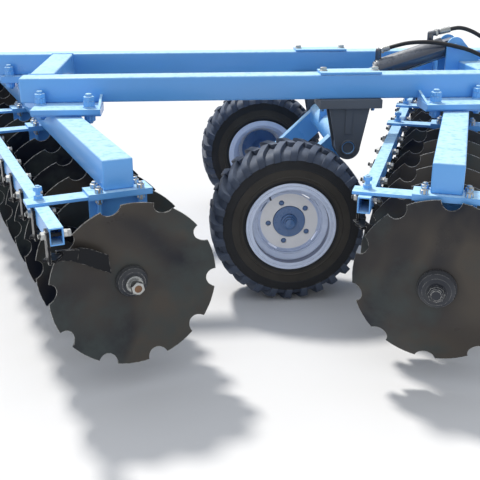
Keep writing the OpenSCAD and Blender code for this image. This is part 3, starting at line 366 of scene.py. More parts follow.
def hex_nut(mesh, place, flats, height, turn=0.0, finish=0):
    """A nut with the corners of both faces chamfered, as it comes from the bar."""
    sides = 36
    face = 0.47 * flats
    levels = [[], [], [], []]
    for k in range(sides):
        a = k * math.tau / sides
        reach = flats / 2 / math.cos((a + math.pi / 6) % (math.pi / 3) - math.pi / 6)
        drop = (reach - face) * 0.55
        for ring, (r, z) in zip(levels, ((face, 0), (reach, drop), (reach, height - drop), (face, height))):
            ring.append(mesh.verts.new(place @ Vector((r * math.cos(a + turn), r * math.sin(a + turn), z))))
    skin = [mesh.faces.new((low[k], low[(k + 1) % sides], high[(k + 1) % sides], high[k]))
            for low, high in zip(levels, levels[1:]) for k in range(sides)]
    skin += [mesh.faces.new(levels[0][::-1]), mesh.faces.new(levels[-1])]
    for one in skin:
        one.material_index = finish


def screw_thread(mesh, place, width, length, pitch, finish=0, sides=24):
    """A threaded bolt end with a chamfered tip."""
    r = width / 2
    teeth = max(2, int(length / pitch))
    profile = [(0, 0), (0, r - pitch * 0.5)]
    for k in range(teeth):
        profile += [(k * pitch + pitch * 0.25, r), (k * pitch + pitch * 0.75, r - pitch * 0.5)]
    top = teeth * pitch
    profile += [(top, r - pitch * 0.2), (top + pitch * 0.6, r - pitch), (top + pitch * 0.6, 0)]
    turned(mesh, profile, place, sides, finish)


def washer(mesh, place, width, bore, thick, finish=0):
    """A punched washer: one face has a rolled edge and the other a sharp one."""
    r = width / 2
    turned(mesh, [(0, bore / 2), (0, r), (thick * 0.6, r), (thick, r - thick * 0.4), (thick, bore / 2)],
           place, 32, finish)


# the near end of each gang's beam, and how many degrees the beam is turned
gang_ends = {"front": (0.473, -1.600, -20.0), "rear": (-0.755, -1.444, 20.0)}


def gang_place(gang):
    """The place of a gang: X across it, Y along it from its near end, Z up."""
    x, y, turn = gang_ends[gang]
    return Matrix.Translation(spot(x, y, 0)) @ Matrix.Rotation(math.radians(turn), 4, "Z")


up, down = Vector((0, 0, 1)), Vector((0, 0, -1))
rail_middle = 0.442
plate_bottom = 0.906
plate_top = 0.942
clamp_flats = 0.0468
clamp_bolt = 0.0306
clamp_lead = 0.003
tie_clearance = 0.0915
# the bolts of one clamp, as (distance along the rail, distance across it)
clamp_bolts = ((-0.068, 0.090), (0.174, 0.181), (-0.134, -0.090), (0.068, -0.090))
clamp_fittings = bmesh.new()
for gang, (end_x, end_y, turn) in gang_ends.items():
    for side in (-1, 1):
        crossing = end_x - (side * rail_middle - end_y) * math.tan(math.radians(turn))
        lean = -side * math.copysign(1, turn)
        for u, v in clamp_bolts:
            x, y = crossing + lean * u, side * (rail_middle + v)
            low, high = spot(x, y, plate_bottom), spot(x, y, plate_top)
            hex_nut(clamp_fittings, standing(low, down), clamp_flats, 0.029)
            screw_thread(clamp_fittings, standing(low + 0.028 * down, down), clamp_bolt, 0.010, clamp_lead)
            if v < 0 and any(abs(x - c) < tie_clearance for c in cross_places):
                continue
            washer(clamp_fittings, standing(high), 0.060, 0.031, 0.0055)
            hex_nut(clamp_fittings, standing(high + 0.005 * up), clamp_flats, 0.0275)
            hex_nut(clamp_fittings, standing(high + 0.0325 * up), clamp_flats, 0.0205, math.radians(20))
            screw_thread(clamp_fittings, standing(high + 0.052 * up), clamp_bolt, 0.012, clamp_lead)
paint_node("gang_clamps", blue_paint)
add_piece("clamp_nuts", clamp_fittings, [blue_paint], "frame")

# Gang beams: 120 mm square steel tubes, capped at both ends and sprayed blue. They are clamped under the
# rails and stand 20 degrees off square to them.
for beam in ("front_gang_beam", "rear_gang_beam"):
    add_piece(beam + "_section", eased_copy(beam, 0.007), [blue_paint], "frame", [beam])


# Hangers and bearings: a flange bolted under the beam, a flat arm to the scraper bar, and an upright plate
# with two ribs that holds the bearing housing. The bolts and nuts are zinc plated, the rest sprayed blue.
def bare_metal(name, colour, rough, spangle=120.0, metal=1.0, stains=0.75):
    """Zinc-coated or polished steel with small crystals and faint stains."""
    material, tree, shader = finish_material(name)
    surface = add(tree, "ShaderNodeGroup", {"node_tree": film}, Dust=0.2, Cloud_size=12.0).outputs
    edges = add(tree, "ShaderNodeGroup", {"node_tree": edge_wear_and_glint}, Width=0.0015, Amount=0.0).outputs
    place = add(tree, "ShaderNodeTexCoord").outputs["Object"]
    crystals = add(tree, "ShaderNodeTexVoronoi", Vector=place, Scale=spangle).outputs["Distance"]
    shade = reckoned(tree, "MULTIPLY", ranged(tree, crystals, 0.0, 1.0, 0.85, 1.1),
                     ranged(tree, surface["Cloud"], 0.35, 0.7, stains, 1.05))
    plug(tree, shader, Base_Color=mixed(tree, 1.0, colour, shade, "MULTIPLY"), Metallic=metal,
         Roughness=ranged(tree, surface["Cloud"], 0.3, 0.7, rough * 0.7, rough * 1.4),
         Normal=relief(tree, 0.1, 0.0005, surface["Grain"], Normal=edges["Normal"]))
    return material


zinc = bare_metal("zinc", (0.50, 0.51, 0.50), 0.42)
disc_pitch = 0.254
first_hub = -0.100
bearing_places = [first_hub + disc_pitch * (n + 0.5) for n in (0, 5, 7, 12)]
beam_bottom = 0.786
flange_bottom = 0.762
axle_z = 0.448
hanger_bolts = [(u, v) for u in (-0.082, 0.082) for v in (-0.036, 0.036)]
hanger_flats = 0.0285
fine_lead = 0.002
bolt_tip = [(0.014, 0.0092), (0.022, 0.0092), (0.0255, 0.0065), (0.0265, 0)]
arm_bolt = (-0.300, 0.012)
arm_thick = 0.012
arm_flats = 0.0300
plate_half = 0.010
weld_depth = 0.003
housing_foot = 0.071
cover_circle = 0.049
cover_out = 0.051
grease_nipple = [(0, 0.006), (0.010, 0.006), (0.011, 0.0035), (0.017, 0.0035), (0.019, 0.0045),
                 (0.022, 0.002), (0.022, 0)]

for gang in gang_ends:
    place = gang_place(gang)
    fixings, hanger_welds, housings = bmesh.new(), bmesh.new(), bmesh.new()
    for y in bearing_places:
        for u, v in hanger_bolts:
            low, high = (place @ Vector((u, y + v, z)) for z in (flange_bottom, beam_bottom))
            hex_nut(fixings, standing(high), hanger_flats, 0.0165)
            turned(fixings, bolt_tip, standing(high), 24)
            hex_nut(fixings, standing(low, down), hanger_flats, 0.0155)
            screw_thread(fixings, standing(low + 0.014 * down, down), 0.018, 0.008, fine_lead)
        arm_top = place @ Vector((arm_bolt[0], y + arm_bolt[1], flange_bottom + arm_thick))
        washer(fixings, standing(arm_top), 0.040, 0.018, 0.003, finish=1)
        hex_nut(fixings, standing(arm_top), arm_flats, 0.018, finish=1)
        hex_nut(fixings, standing(arm_top + 0.033 * up), arm_flats, 0.017, math.radians(14), finish=1)
        screw_thread(fixings, standing(arm_top + 0.049 * up), 0.0184, 0.003, fine_lead, finish=1)
        # welds of the upright plate under the flange and round the bearing housing
        for side in (-1, 1):
            edge_y = y + side * plate_half
            seam = [place @ Vector((x, edge_y, flange_bottom - weld_depth)) for x in (-0.113, 0.113)]
            weld_bead(hanger_welds, seam)
            arc = [place @ Vector((housing_foot * math.cos(a), edge_y, axle_z + housing_foot * math.sin(a)))
                   for a in [math.radians(10 * k - 30) for k in range(25)]]
            weld_bead(hanger_welds, arc, 0.0035)
        # grease nipple on top of the housing, and the screws of its two dust covers
        nipple = standing(place @ Vector((0.030, y, axle_z + 0.060)), Vector((0.42, 0, 0.9)))
        turned(housings, grease_nipple, nipple, 16)
        for side in (-1, 1):
            across = place.to_3x3() @ Vector((0, side, 0))
            for a in [math.radians(60 * k + 30) for k in range(6)]:
                cover_screw = place @ Vector((cover_circle * math.cos(a), y + side * cover_out,
                                              axle_z + cover_circle * math.sin(a)))
                hex_nut(housings, standing(cover_screw, across), 0.010, 0.005)
    add_piece(gang + "_hanger_bolts", fixings, [zinc, blue_paint], "frame")
    add_piece(gang + "_hanger_welds", hanger_welds, [blue_paint], "frame")
    add_piece(gang + "_bearing_fittings", housings, [zinc], "frame")
for node in ("front_hangers", "rear_hangers", "front_bearings", "rear_bearings"):
    paint_node(node, blue_paint)

# Scrapers: black steel blades on shanks behind a rectangular tube, which is open at its ends, painted blue
# and bolted to the hangers' arms. At each shank a zinc-plated bolt with two nuts passes through the tube.
# Its light edge colour paints a glint along the blades' edges as well as wear.
scraper_black = sprayed_paint("scraper_black", (0.008, 0.009, 0.012), (0.10, 0.10, 0.10), (0.60, 0.58, 0.54),
                              dust=0.15, gloss=0.30, edge=0.70, cloud=6.0, coat=0.0, breaks=0.50, shine=0.15)
scraper_out = 0.148
bar_back = -0.325
bar_deep = 0.050
scraper_bolt_z = 0.732
shank_thick = 0.010
scraper_flats = 0.0266
scraper_washer = (0.034, 0.016, 0.003)
hollow_side = {"front": 1, "rear": -1}
for gang in gang_ends:
    place = gang_place(gang)
    backwards, forwards = (place.to_3x3() @ Vector((x, 0, 0)) for x in (-1, 1))
    bolts = bmesh.new()
    for n in range(14):
        y = first_hub + n * disc_pitch + hollow_side[gang] * scraper_out
        rear_face, front_face = (place @ Vector((x, y, scraper_bolt_z))
                                 for x in (bar_back - shank_thick, bar_back + bar_deep))
        washer(bolts, standing(rear_face, backwards), *scraper_washer)
        hex_nut(bolts, standing(rear_face, backwards), scraper_flats, 0.016)
        screw_thread(bolts, standing(rear_face + backwards * 0.014, backwards), 0.0164, 0.010, fine_lead)
        washer(bolts, standing(front_face, forwards), *scraper_washer)
        hex_nut(bolts, standing(front_face, forwards), scraper_flats, 0.016)
        hex_nut(bolts, standing(front_face + forwards * 0.016, forwards), 0.0240, 0.0125, math.radians(25))
    add_piece(gang + "_scraper_bolts", bolts, [zinc], "frame")
    paint_node(gang + "_scraper_bar", blue_paint)
    paint_node(gang + "_scrapers", scraper_black)


# Discs: notched steel discs of 660 mm, rolled, hardened and dipped in thin black paint, through which brown
# scale and grey-green temper clouds show. A glint is painted along their bare ground edge. The cast spools
# between them are black.
def dipped_steel(name, dark, brown, temper):
    """Thin paint over hot-rolled steel in three tones of soft clouds, and bright bare edges with a painted
    glint.
    """
    material, tree, shader = finish_material(name)
    surface = add(tree, "ShaderNodeGroup", {"node_tree": film}, Dust=0.12, Cloud_size=3.4).outputs
    edges = add(tree, "ShaderNodeGroup", {"node_tree": edge_wear_and_glint}, Width=0.0026, Amount=0.9,
                Breaks=0.44).outputs
    place = add(tree, "ShaderNodeTexCoord").outputs["Object"]
    broad = add(tree, "ShaderNodeTexNoise", Vector=place, Scale=1.9, Detail=3.0,
                Distortion=0.6).outputs["Fac"]
    scaled = mixed(tree, ranged(tree, broad, 0.40, 0.58), dark, brown)
    clouded = mixed(tree, ranged(tree, surface["Cloud"], 0.46, 0.64), scaled, temper)
    dusty_and_sunlit = mixed(tree, surface["Dust"], clouded, (0.16, 0.15, 0.13))
    # bright edges: bare steel with a painted glint
    plug(tree, shader, Base_Color=mixed(tree, edges["Edge"], dusty_and_sunlit, (0.75, 0.74, 0.70)),
         Roughness=ranged(tree, surface["Cloud"], 0.3, 0.7, 0.26, 0.50),
         Normal=relief(tree, 0.12, 0.0008, surface["Grain"], Normal=edges["Normal"]),
         Specular_IOR_Level=0.20)
    return material


disc_black = dipped_steel("disc_black", (0.009, 0.012, 0.021), (0.066, 0.057, 0.048), (0.046, 0.056, 0.056))
spool_black = dipped_steel("spool_black", (0.022, 0.025, 0.034), (0.050, 0.053, 0.062),
                           (0.062, 0.066, 0.070))
for gang in ("front_right", "front_left", "rear_right", "rear_left"):
    paint_node(gang + "_discs", disc_black)
    paint_node(gang + "_spools", spool_black)

# Gang shafts: square bars through the discs. At the discs' hollow side they end in a collar and a thread
# with a nut at its tip, zinc coated with rust on the cut face, and at the other side in a painted head.
rusty = bare_metal("rusty_cut", (0.30, 0.16, 0.085), 0.75, spangle=300.0, metal=0.25, stains=0.5)
collar_thick = 0.014
nut_from = 0.033
thread_end = 0.0575
washer_out = {"hollow": 0.037, "back": 0.049}
for gang in gang_ends:
    place = gang_place(gang)
    along = place.to_3x3() @ Vector((0, hollow_side[gang], 0))
    for half, name in ((0, "right"), (7, "left")):
        body = gang + "_" + name + "_gang"
        last = half + 6 if hollow_side[gang] > 0 else half
        first = half if hollow_side[gang] > 0 else half + 6
        hollow_y = first_hub + last * disc_pitch + hollow_side[gang] * washer_out["hollow"]
        back_y = first_hub + first * disc_pitch - hollow_side[gang] * washer_out["back"]
        hollow_end, back_end = (place @ Vector((0, y, axle_z)) for y in (hollow_y, back_y))
        shaft = node_copy(gang + "_" + name + "_shaft")
        everything = shaft.verts[:] + shaft.edges[:] + shaft.faces[:]
        bmesh.ops.bisect_plane(shaft, geom=everything, plane_co=hollow_end + along * (collar_thick - 0.002),
                               plane_no=along, clear_outer=True)
        bmesh.ops.holes_fill(shaft, edges=[e for e in shaft.edges if e.is_boundary])
        for face in shaft.faces:
            bare = (face.calc_center_median() - hollow_end).dot(along) > -0.0005
            face.material_index = 1 if bare else 0
        turned(shaft, [(0, 0.0338), (0.0105, 0.0338), (0.0142, 0.031), (0.0142, 0.014)],
               standing(hollow_end, along), 48, 1)
        screw_thread(shaft, standing(hollow_end + along * 0.013, along), 0.0400, 0.020, 0.003, 1, 40)
        nut_place = standing(hollow_end + along * nut_from, along)
        hex_nut(shaft, nut_place, 0.0474, thread_end - nut_from, math.radians(10), 1)
        cut_face = standing(hollow_end + along * thread_end, along)
        turned(shaft, [(0, 0.0150), (0.0008, 0.0140), (0.0008, 0)], cut_face, 32, 2)
        add_piece(gang + "_" + name + "_shaft_bar", shaft, [spool_black, zinc, rusty], body,
                  [gang + "_" + name + "_shaft"], smooth=30)
        head = bmesh.new()
        turned(head, [(0.018, 0.026), (0.0265, 0.025), (0.0275, 0.0205), (0.0275, 0.0195), (0.0305, 0.0185),
                      (0.0315, 0.0165), (0.0315, 0)], standing(back_end, -along), 40)
        add_piece(gang + "_" + name + "_shaft_head", head, [spool_black], body)

# Axle brackets: dark grey castings under the rails that hold the lifting axle. Over each rail lies a blue
# clamp plate, and two long bolts draw it and the bracket together.
cast_grey = sprayed_paint("cast_grey", (0.085, 0.100, 0.125), (0.30, 0.30, 0.30), (0.25, 0.25, 0.25),
                          dust=0.3, gloss=0.5, edge=0.2, cloud=8.0, coat=0.0, peel=0.08)
paint_node("axle_brackets", cast_grey)
pivot_x = 0.326
rail_top = 1.062
lip_bottom = 0.900
bolt_out = 0.130
plate_thick = 0.012
plate_size = Matrix.Diagonal((0.304, 0.128, plate_thick, 1))
bracket_flats = 0.0300
clamp_plates = bmesh.new()
for side in (-1, 1):
    plate_middle = spot(pivot_x, side * rail_middle, rail_top + plate_thick / 2)
    plate_place = Matrix.Translation(plate_middle) @ plate_size
    plate = bmesh.ops.create_cube(clamp_plates, size=1.0, matrix=plate_place)
    plate_edges = list(dict.fromkeys(e for v in plate["verts"] for e in v.link_edges))
    bmesh.ops.bevel(clamp_plates, geom=plate_edges, offset=0.002, segments=2, profile=0.5, affect="EDGES")
    for u in (-bolt_out, bolt_out):
        low, top = (spot(pivot_x + u, side * rail_middle, z) for z in (lip_bottom, rail_top + plate_thick))
        washer(clamp_plates, standing(top), 0.042, 0.021, 0.004, finish=1)
        hex_nut(clamp_plates, standing(top + 0.003 * up), bracket_flats, 0.014, finish=1)
        hex_nut(clamp_plates, standing(low, down), bracket_flats, 0.016)
        screw_thread(clamp_plates, standing(low + 0.015 * down, down), 0.020, 0.013, 0.0025)
add_piece("axle_clamp_plates", clamp_plates, [blue_paint, zinc], "frame", ["axle_clamps"])

# Lifting axle: a round tube with two wheel arms and the lever for the cylinder, welded and painted blue.
# It turns in the brackets, and its bare grey ends show in their bores.
paint_node("rockshaft", blue_paint)
paint_node("spindles", blue_paint)
pivot_z = 0.695
pin_end = 0.507
for side, name in ((-1, "right"), (1, "left")):
    bush = bmesh.new()
    bush_place = standing(spot(pivot_x, side * pin_end, pivot_z), (0, side, 0))
    turned(bush, [(-0.006, 0.0402), (0.0006, 0.0402), (0.0016, 0.0390), (0.0016, 0.0330), (0.0006, 0.0318),
                  (-0.0080, 0.0288), (-0.0100, 0.0288), (-0.0100, 0.0)], bush_place, 64)
    add_piece("rockshaft_end_" + name, bush, [cast_grey], "axle")


# Tyres: bias-ply implement tyres, 780 mm high. A moulded carcass with a raised rim ring, and 28 bar lugs a
# side that run from the middle to the shoulder and turn down the side wall at a knee.
def rubber_material(name, low, high, soil_and_sky_highlight, rough=0.60):
    """Black rubber, slightly grey from weather, lighter where it faces up: soil, and on the tread painted
    sky light.
    """
    material, tree, shader = finish_material(name)
    surface = add(tree, "ShaderNodeGroup", {"node_tree": film}, Dust=0.35, Cloud_size=7.0,
                  Grain_size=220.0).outputs
    bloom = mixed(tree, surface["Cloud"], low, high)
    plug(tree, shader, Base_Color=mixed(tree, surface["Dust"], bloom, soil_and_sky_highlight), Roughness=rough,
         Specular_IOR_Level=0.25, Normal=relief(tree, 0.35, 0.0006, surface["Grain"]))
    return material


# The tread's bluish tones and its bluish top colour are painted sky light on black rubber.
sky_tinted_rubber = rubber_material("sky_tinted_rubber", (0.034, 0.043, 0.062), (0.084, 0.106, 0.158),
                               (0.19, 0.22, 0.28))
wall_rubber = rubber_material("wall_rubber", (0.010, 0.011, 0.014), (0.030, 0.031, 0.034),
                              (0.10, 0.10, 0.10))
brown_rubber = rubber_material("brown_rubber", (0.018, 0.017, 0.017), (0.062, 0.056, 0.048),
                               (0.13, 0.12, 0.10))

# half of the carcass, as (distance from the wheel's axle, distance from its middle)
carcass_half = [(0.369, 0.000), (0.3685, 0.040), (0.367, 0.075), (0.362, 0.098), (0.354, 0.112),
                (0.343, 0.122), (0.332, 0.1275), (0.3305, 0.1292), (0.328, 0.1297), (0.318, 0.1312),
                (0.300, 0.1322), (0.2915, 0.1321), (0.2900, 0.1336), (0.2875, 0.1336), (0.2860, 0.1320),
                (0.275, 0.1316), (0.2535, 0.1292), (0.2515, 0.1306), (0.2485, 0.1316), (0.2460, 0.1306),
                (0.2440, 0.1282), (0.236, 0.1262), (0.2335, 0.1268), (0.2315, 0.1262), (0.227, 0.1240),
                (0.2215, 0.1225), (0.2190, 0.1195), (0.2080, 0.1180)]
lug_count = 28
lug_pitch = math.tau / lug_count
lug_start = math.radians(94.3)
lug_lead = math.radians(7.3)
knee_turn = math.radians(1.0)
knee_step = 5
knee_y = 0.122
past_middle = 0.018
lug_long = 0.140
mean_reach = 0.385
lug_outline = [(0.390, -0.018), (0.390, 0.020), (0.3895, 0.060), (0.3875, 0.090), (0.3830, 0.110),
               (0.3760, 0.124), (0.3660, 0.1325), (0.3520, 0.1362), (0.3380, 0.1368), (0.3300, 0.1362)]
lug_root = [(0.360, -0.018), (0.360, 0.020), (0.359, 0.060), (0.356, 0.084), (0.350, 0.098),
            (0.342, 0.108), (0.334, 0.115), (0.328, 0.120), (0.322, 0.123), (0.318, 0.124)]
crest_half = 0.0168
root_half = 0.0215
wall_zone = (0.331, 0.1345)
brown_zone = (0.2325, 0.2858)


def lug_turn(step):
    """How far a lug has turned round the tyre at a step of its outline: it leads up to the knee."""
    y = min(lug_outline[step][1], knee_y)
    after_knee = max(0, step - knee_step) / 4
    return (y + past_middle) / lug_long * lug_lead + after_knee * knee_turn


def lug(mesh, turn, side):
    """One tread bar: a tapered strip along its outline. It gives back the crest's edges, to be rounded."""
    rows = []
    for step, ((r, y), (r_root, y_root)) in enumerate(zip(lug_outline, lug_root)):
        a = turn + lug_turn(step)
        corners = []
        for half, radius, across in ((-root_half, r_root, y_root), (-crest_half, r, y), (crest_half, r, y),
                                     (root_half, r_root, y_root)):
            b = a + half / mean_reach
            corners.append(mesh.verts.new((radius * math.cos(b), side * across, radius * math.sin(b))))
        rows.append(corners)
    faces = [(low[k], low[k + 1], high[k + 1], high[k])
             for low, high in zip(rows, rows[1:]) for k in range(3)]
    faces += [rows[0][::-1], rows[-1]]
    for corners in faces:
        mesh.faces.new(corners if side > 0 else corners[::-1])
    along = [e for low, high in zip(rows, rows[1:]) for k in (1, 2) for e in low[k].link_edges
             if e.other_vert(low[k]) is high[k]]
    ends = [e for row in (rows[0], rows[-1]) for e in row[1].link_edges if e.other_vert(row[1]) is row[2]]
    return along + ends


for side, name in ((-1, "right"), (1, "left")):
    low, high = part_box("rim_" + name)
    middle = (low + high) / 2
    tyre = bmesh.new()
    crests = []
    for k in range(lug_count):
        crests += lug(tyre, lug_start + k * lug_pitch, side)
        crests += lug(tyre, lug_start + (k + 0.5) * lug_pitch, -side)
    bmesh.ops.bevel(tyre, geom=crests, offset=0.0016, segments=2, profile=0.6, affect="EDGES",
                    clamp_overlap=False)
    outside = [(y, r) for r, y in reversed(carcass_half)]
    inside = [(-y, r) for r, y in carcass_half[1:]]
    turned(tyre, outside + inside, standing(Vector((0, 0, 0)), (0, 1, 0)), 168)
    bmesh.ops.recalc_face_normals(tyre, faces=tyre.faces)
    for face in tyre.faces:
        centre = face.calc_center_median()
        reach = math.hypot(centre.x, centre.z)
        if reach < wall_zone[0] and abs(centre.y) < wall_zone[1]:
            face.material_index = 2 if brown_zone[0] < reach < brown_zone[1] else 1
    bmesh.ops.translate(tyre, vec=middle, verts=tyre.verts)
    add_piece("tyre_" + name + "_moulded", tyre, [sky_tinted_rubber, wall_rubber, brown_rubber], "wheel_" + name,
              ["tyre_" + name], smooth=28)

# Rims and hubs: pressed steel rims in silver paint, with five countersunk studs and four slots, on blue
# hubs whose stepped cap shows in the rim's bore. The valve stands in the well.
rim_silver = sprayed_paint("rim_silver", (0.88, 0.88, 0.89), (0.6, 0.6, 0.58), (0.3, 0.3, 0.3), dust=0.15,
                           gloss=0.34, edge=0.1, cloud=10.0, coat=0.25, spread=0.06)
# Shaded copies of the silver paint the shade on the outer rings: bluish grey, and darker on the seat wall.
sky_shaded_silver = sprayed_paint("sky_shaded_silver", (0.62, 0.70, 0.88), (0.5, 0.5, 0.5), (0.3, 0.3, 0.3), dust=0.1,
                            gloss=0.26, edge=0.1, cloud=10.0, coat=0.4, spread=0.06)
deep_shaded_silver = sprayed_paint("deep_shaded_silver", (0.17, 0.19, 0.27), (0.3, 0.3, 0.3), (0.3, 0.3, 0.3), dust=0.1,
                           gloss=0.34, edge=0.1, cloud=10.0, coat=0.2, spread=0.06)
# The hubs' blue is a darker copy of the blue paint, which paints the shade that the hubs lie in.
shaded_hub_blue = sprayed_paint("shaded_hub_blue", (0.070, 0.165, 0.37), (0.35, 0.45, 0.55), (0.2, 0.2, 0.2), dust=0.15,
                         gloss=0.28, edge=0.3, cloud=9.0, coat=0.3)
flange_front = [(0.1180, 0.1866), (0.1276, 0.1868), (0.1302, 0.1885), (0.1310, 0.1925), (0.1304, 0.1975),
                (0.1284, 0.2005), (0.1278, 0.2025), (0.1290, 0.2045), (0.1318, 0.2080), (0.1328, 0.2125),
                (0.1320, 0.2165), (0.1298, 0.2184), (0.1240, 0.2184)]
well_beads = ((0.1835, 0.0865, 0.0030), (0.1595, 0.0645, 0.0030), (0.1570, 0.0425, 0.0040))
shaded_ring = (0.1990, 0.2050)
bead_seat = 0.1869
well_from = 0.1435
well_wall = 0.1805
valve_reach = 0.176
valve_turn = 2.2
for side, name in ((-1, "right"), (1, "left")):
    low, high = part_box("rim_" + name)
    middle = (low + high) / 2
    valve = bmesh.new()
    valve_foot = Vector((valve_reach * math.cos(valve_turn), side * 0.075,
                         valve_reach * math.sin(valve_turn)))
    stem = standing(middle + valve_foot, (0.1, side, -0.2))
    turned(valve, [(0, 0.006), (0.010, 0.0055), (0.012, 0.0038), (0.030, 0.0036), (0.031, 0.0048),
                   (0.040, 0.0048), (0.042, 0.003), (0.042, 0)], stem, 16)
    add_piece("valve_" + name, valve, [sky_tinted_rubber], "wheel_" + name)
    rim_place = standing(middle, (0, side, 0))
    beads = bmesh.new()
    turned(beads, flange_front, rim_place, 120)
    # painted shade: the flange's groove and its part inside the seat take the darker copy
    for face in beads.faces:
        reach = math.hypot(face.calc_center_median().x - middle.x, face.calc_center_median().z - middle.z)
        face.material_index = 1 if shaded_ring[0] < reach < shaded_ring[1] or reach < bead_seat else 0
    for r, y, thick in well_beads:
        turns = [math.radians(30 * k) for k in range(13)]
        turned(beads, [(y + thick * math.sin(a), r + thick * math.cos(a)) for a in turns], rim_place, 96)
    bmesh.ops.recalc_face_normals(beads, faces=beads.faces)
    add_piece("rim_beads_" + name, beads, [sky_shaded_silver, deep_shaded_silver], "wheel_" + name)
    paint_node("rim_" + name, rim_silver)
    rim_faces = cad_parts["rim_" + name].data
    rim_faces.materials.append(sky_shaded_silver)
    rim_faces.materials.append(deep_shaded_silver)
    # painted shade: bluish grey on the outer rings, darker on the seat wall
    for face in rim_faces.polygons:
        reach = math.hypot(face.center.x - middle.x, face.center.z - middle.z)
        if reach > well_from:
            face.material_index = 2 if reach > well_wall and abs(face.normal.y) < 0.5 else 1
    paint_node("hub_" + name, shaded_hub_blue)

# Lift cylinder: black barrel, chromed rod and clip-on stop collars on a blue bracket. Its two hose ends
# are zinc-plated: a swivel nut on the port's elbow and a ferrule crimped onto the hose.
# Its pale top colour paints a highlight along the top of the barrel.
barrel_black = sprayed_paint("barrel_black", (0.034, 0.042, 0.062), (0.70, 0.72, 0.76), (0.2, 0.2, 0.2),
                             dust=0.28, gloss=0.14, edge=0.1, cloud=6.0, coat=1.0)
chrome = bare_metal("chrome", (0.72, 0.73, 0.75), 0.10, spangle=900.0, stains=0.95)
paint_node("cylinder_bracket", blue_paint)
paint_node("cylinder_barrel", barrel_black)
paint_node("cylinder_rod", chrome)
paint_node("stop_collars", zinc)


def hose_end(mesh, start, end):
    """A swivel nut and a crimped ferrule on the line from a port to where the hose comes out."""
    ahead = (end - start).normalized()
    length = (end - start).length
    crimp = length + 0.012
    hex_nut(mesh, standing(start + ahead * (length * 0.26), ahead), 0.0345, 0.013)
    profile = [(length * 0.50, 0.013), (length * 0.53, 0.0162)]
    for k in range(5):
        z = length * 0.56 + (crimp - length * 0.58) * k / 5
        profile += [(z, 0.0166), (z + 0.0015, 0.0152), (z + 0.0035, 0.0152), (z + 0.0050, 0.0166)]
    profile += [(crimp - 0.001, 0.0160), (crimp, 0.0125), (crimp, 0.0105)]
    turned(mesh, profile, standing(start, ahead), 32)


rod_port, rod_ferrule = spot(0.578, 0, 1.112), spot(0.625, -0.012, 1.127)
cap_port, cap_ferrule = spot(0.862, 0, 1.200), spot(0.957, 0, 1.221)
hose_ends = bmesh.new()
hose_end(hose_ends, rod_port, rod_ferrule)
hose_end(hose_ends, cap_port, cap_ferrule)
add_piece("cylinder_hose_ends", hose_ends, [zinc], "cylinder")

# Hydraulic hoses: black wire-braided hose of 22 mm from the cylinder over the frame's cross tube, in a
# slack loop past the drawbar's pin and along the drawbar's right leg to the couplers.
hose_rubber = rubber_material("hose_rubber", (0.014, 0.014, 0.016), (0.030, 0.030, 0.033),
                              (0.12, 0.11, 0.10), rough=0.42)
hose_radius = 0.011
between_hoses = -0.077
in_clip = 1.0743
half_apart = 0.015
cylinder_run = [(0.625, -0.012, 1.127), (0.712, -0.035, 1.153), (0.790, -0.058, 1.163),
                (0.862, -0.082, 1.163), (0.928, -0.102, 1.154), (0.985, -0.108, 1.142)]
rod_side_run = [(1.052, -0.108, 1.124), (1.128, -0.106, 1.093), (1.210, -0.101, 1.066),
                (1.300, -0.095, 1.064)]
cap_side_run = [(0.957, 0.0, 1.221), (1.022, 0.0, 1.231), (1.090, -0.006, 1.213), (1.171, -0.022, 1.168),
                (1.252, -0.042, 1.116), (1.322, -0.057, 1.083)]
# both hoses together, as (x, y, z, half the distance between them)
frame_run = [(x, between_hoses, in_clip, half_apart) for x in (1.384, 1.440)]
loop_run = [(x, between_hoses, in_clip, half_apart) for x in (1.440, 1.490)] + [
    (1.530, -0.098, 1.076, 0.015), (1.567, -0.136, 1.056, 0.015), (1.587, -0.172, 1.026, 0.015),
    (1.592, -0.188, 0.996, 0.015), (1.592, -0.190, 0.962, 0.015), (1.599, -0.191, 0.914, 0.015),
    (1.635, -0.194, 0.876, 0.015), (1.688, -0.198, 0.864, 0.015), (1.742, -0.203, 0.890, 0.016),
    (1.795, -0.209, 0.940, 0.017), (1.845, -0.226, 0.978, 0.018), (1.895, -0.250, 0.966, 0.020)]
leg_from = Vector((1.562, -0.330, 0.962))
leg_line = Vector((1.668, 0.260, -0.462))
leg_side = Vector((-leg_line.y, leg_line.x, 0)).normalized()
leg_up = leg_line.normalized().cross(leg_side)


def leg_at(x, u, lift):
    """A point over the top face of the drawbar's right leg."""
    half_leg = 0.050
    return leg_from + leg_line * ((x - leg_from.x) / leg_line.x) + u * leg_side + (half_leg + lift) * leg_up


def smooth_run(points):
    """A smooth curve through the points that a hose passes, measured from the wheels' middle."""
    parts = 6
    p = [spot(*q) for q in points]
    run = []
    for i in range(len(p) - 1):
        a, b, c, d = p[max(i - 1, 0)], p[i], p[i + 1], p[min(i + 2, len(p) - 1)]
        for k in range(parts):
            t = k / parts
            run.append(b + (c - a) * t / 2 + (2 * a - 5 * b + 4 * c - d) * t * t / 2
                       + (3 * b - a - 3 * c + d) * t * t * t / 2)
    return run + [p[-1]]


def lane(run, side):
    """One of the two hoses that lie beside each other."""
    return [(x, y + side * apart, z) for x, y, z, apart in run]


def hose_piece(name, runs, stands_for):
    """Hoses between two bodies, swept as one mesh that rides on neither."""
    mesh = bmesh.new()
    for run in runs:
        sweep(mesh, run, hose_radius, sides=20)
    piece = add_piece(name, mesh, [hose_rubber], None, stands_for, smooth=50)
    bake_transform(piece)


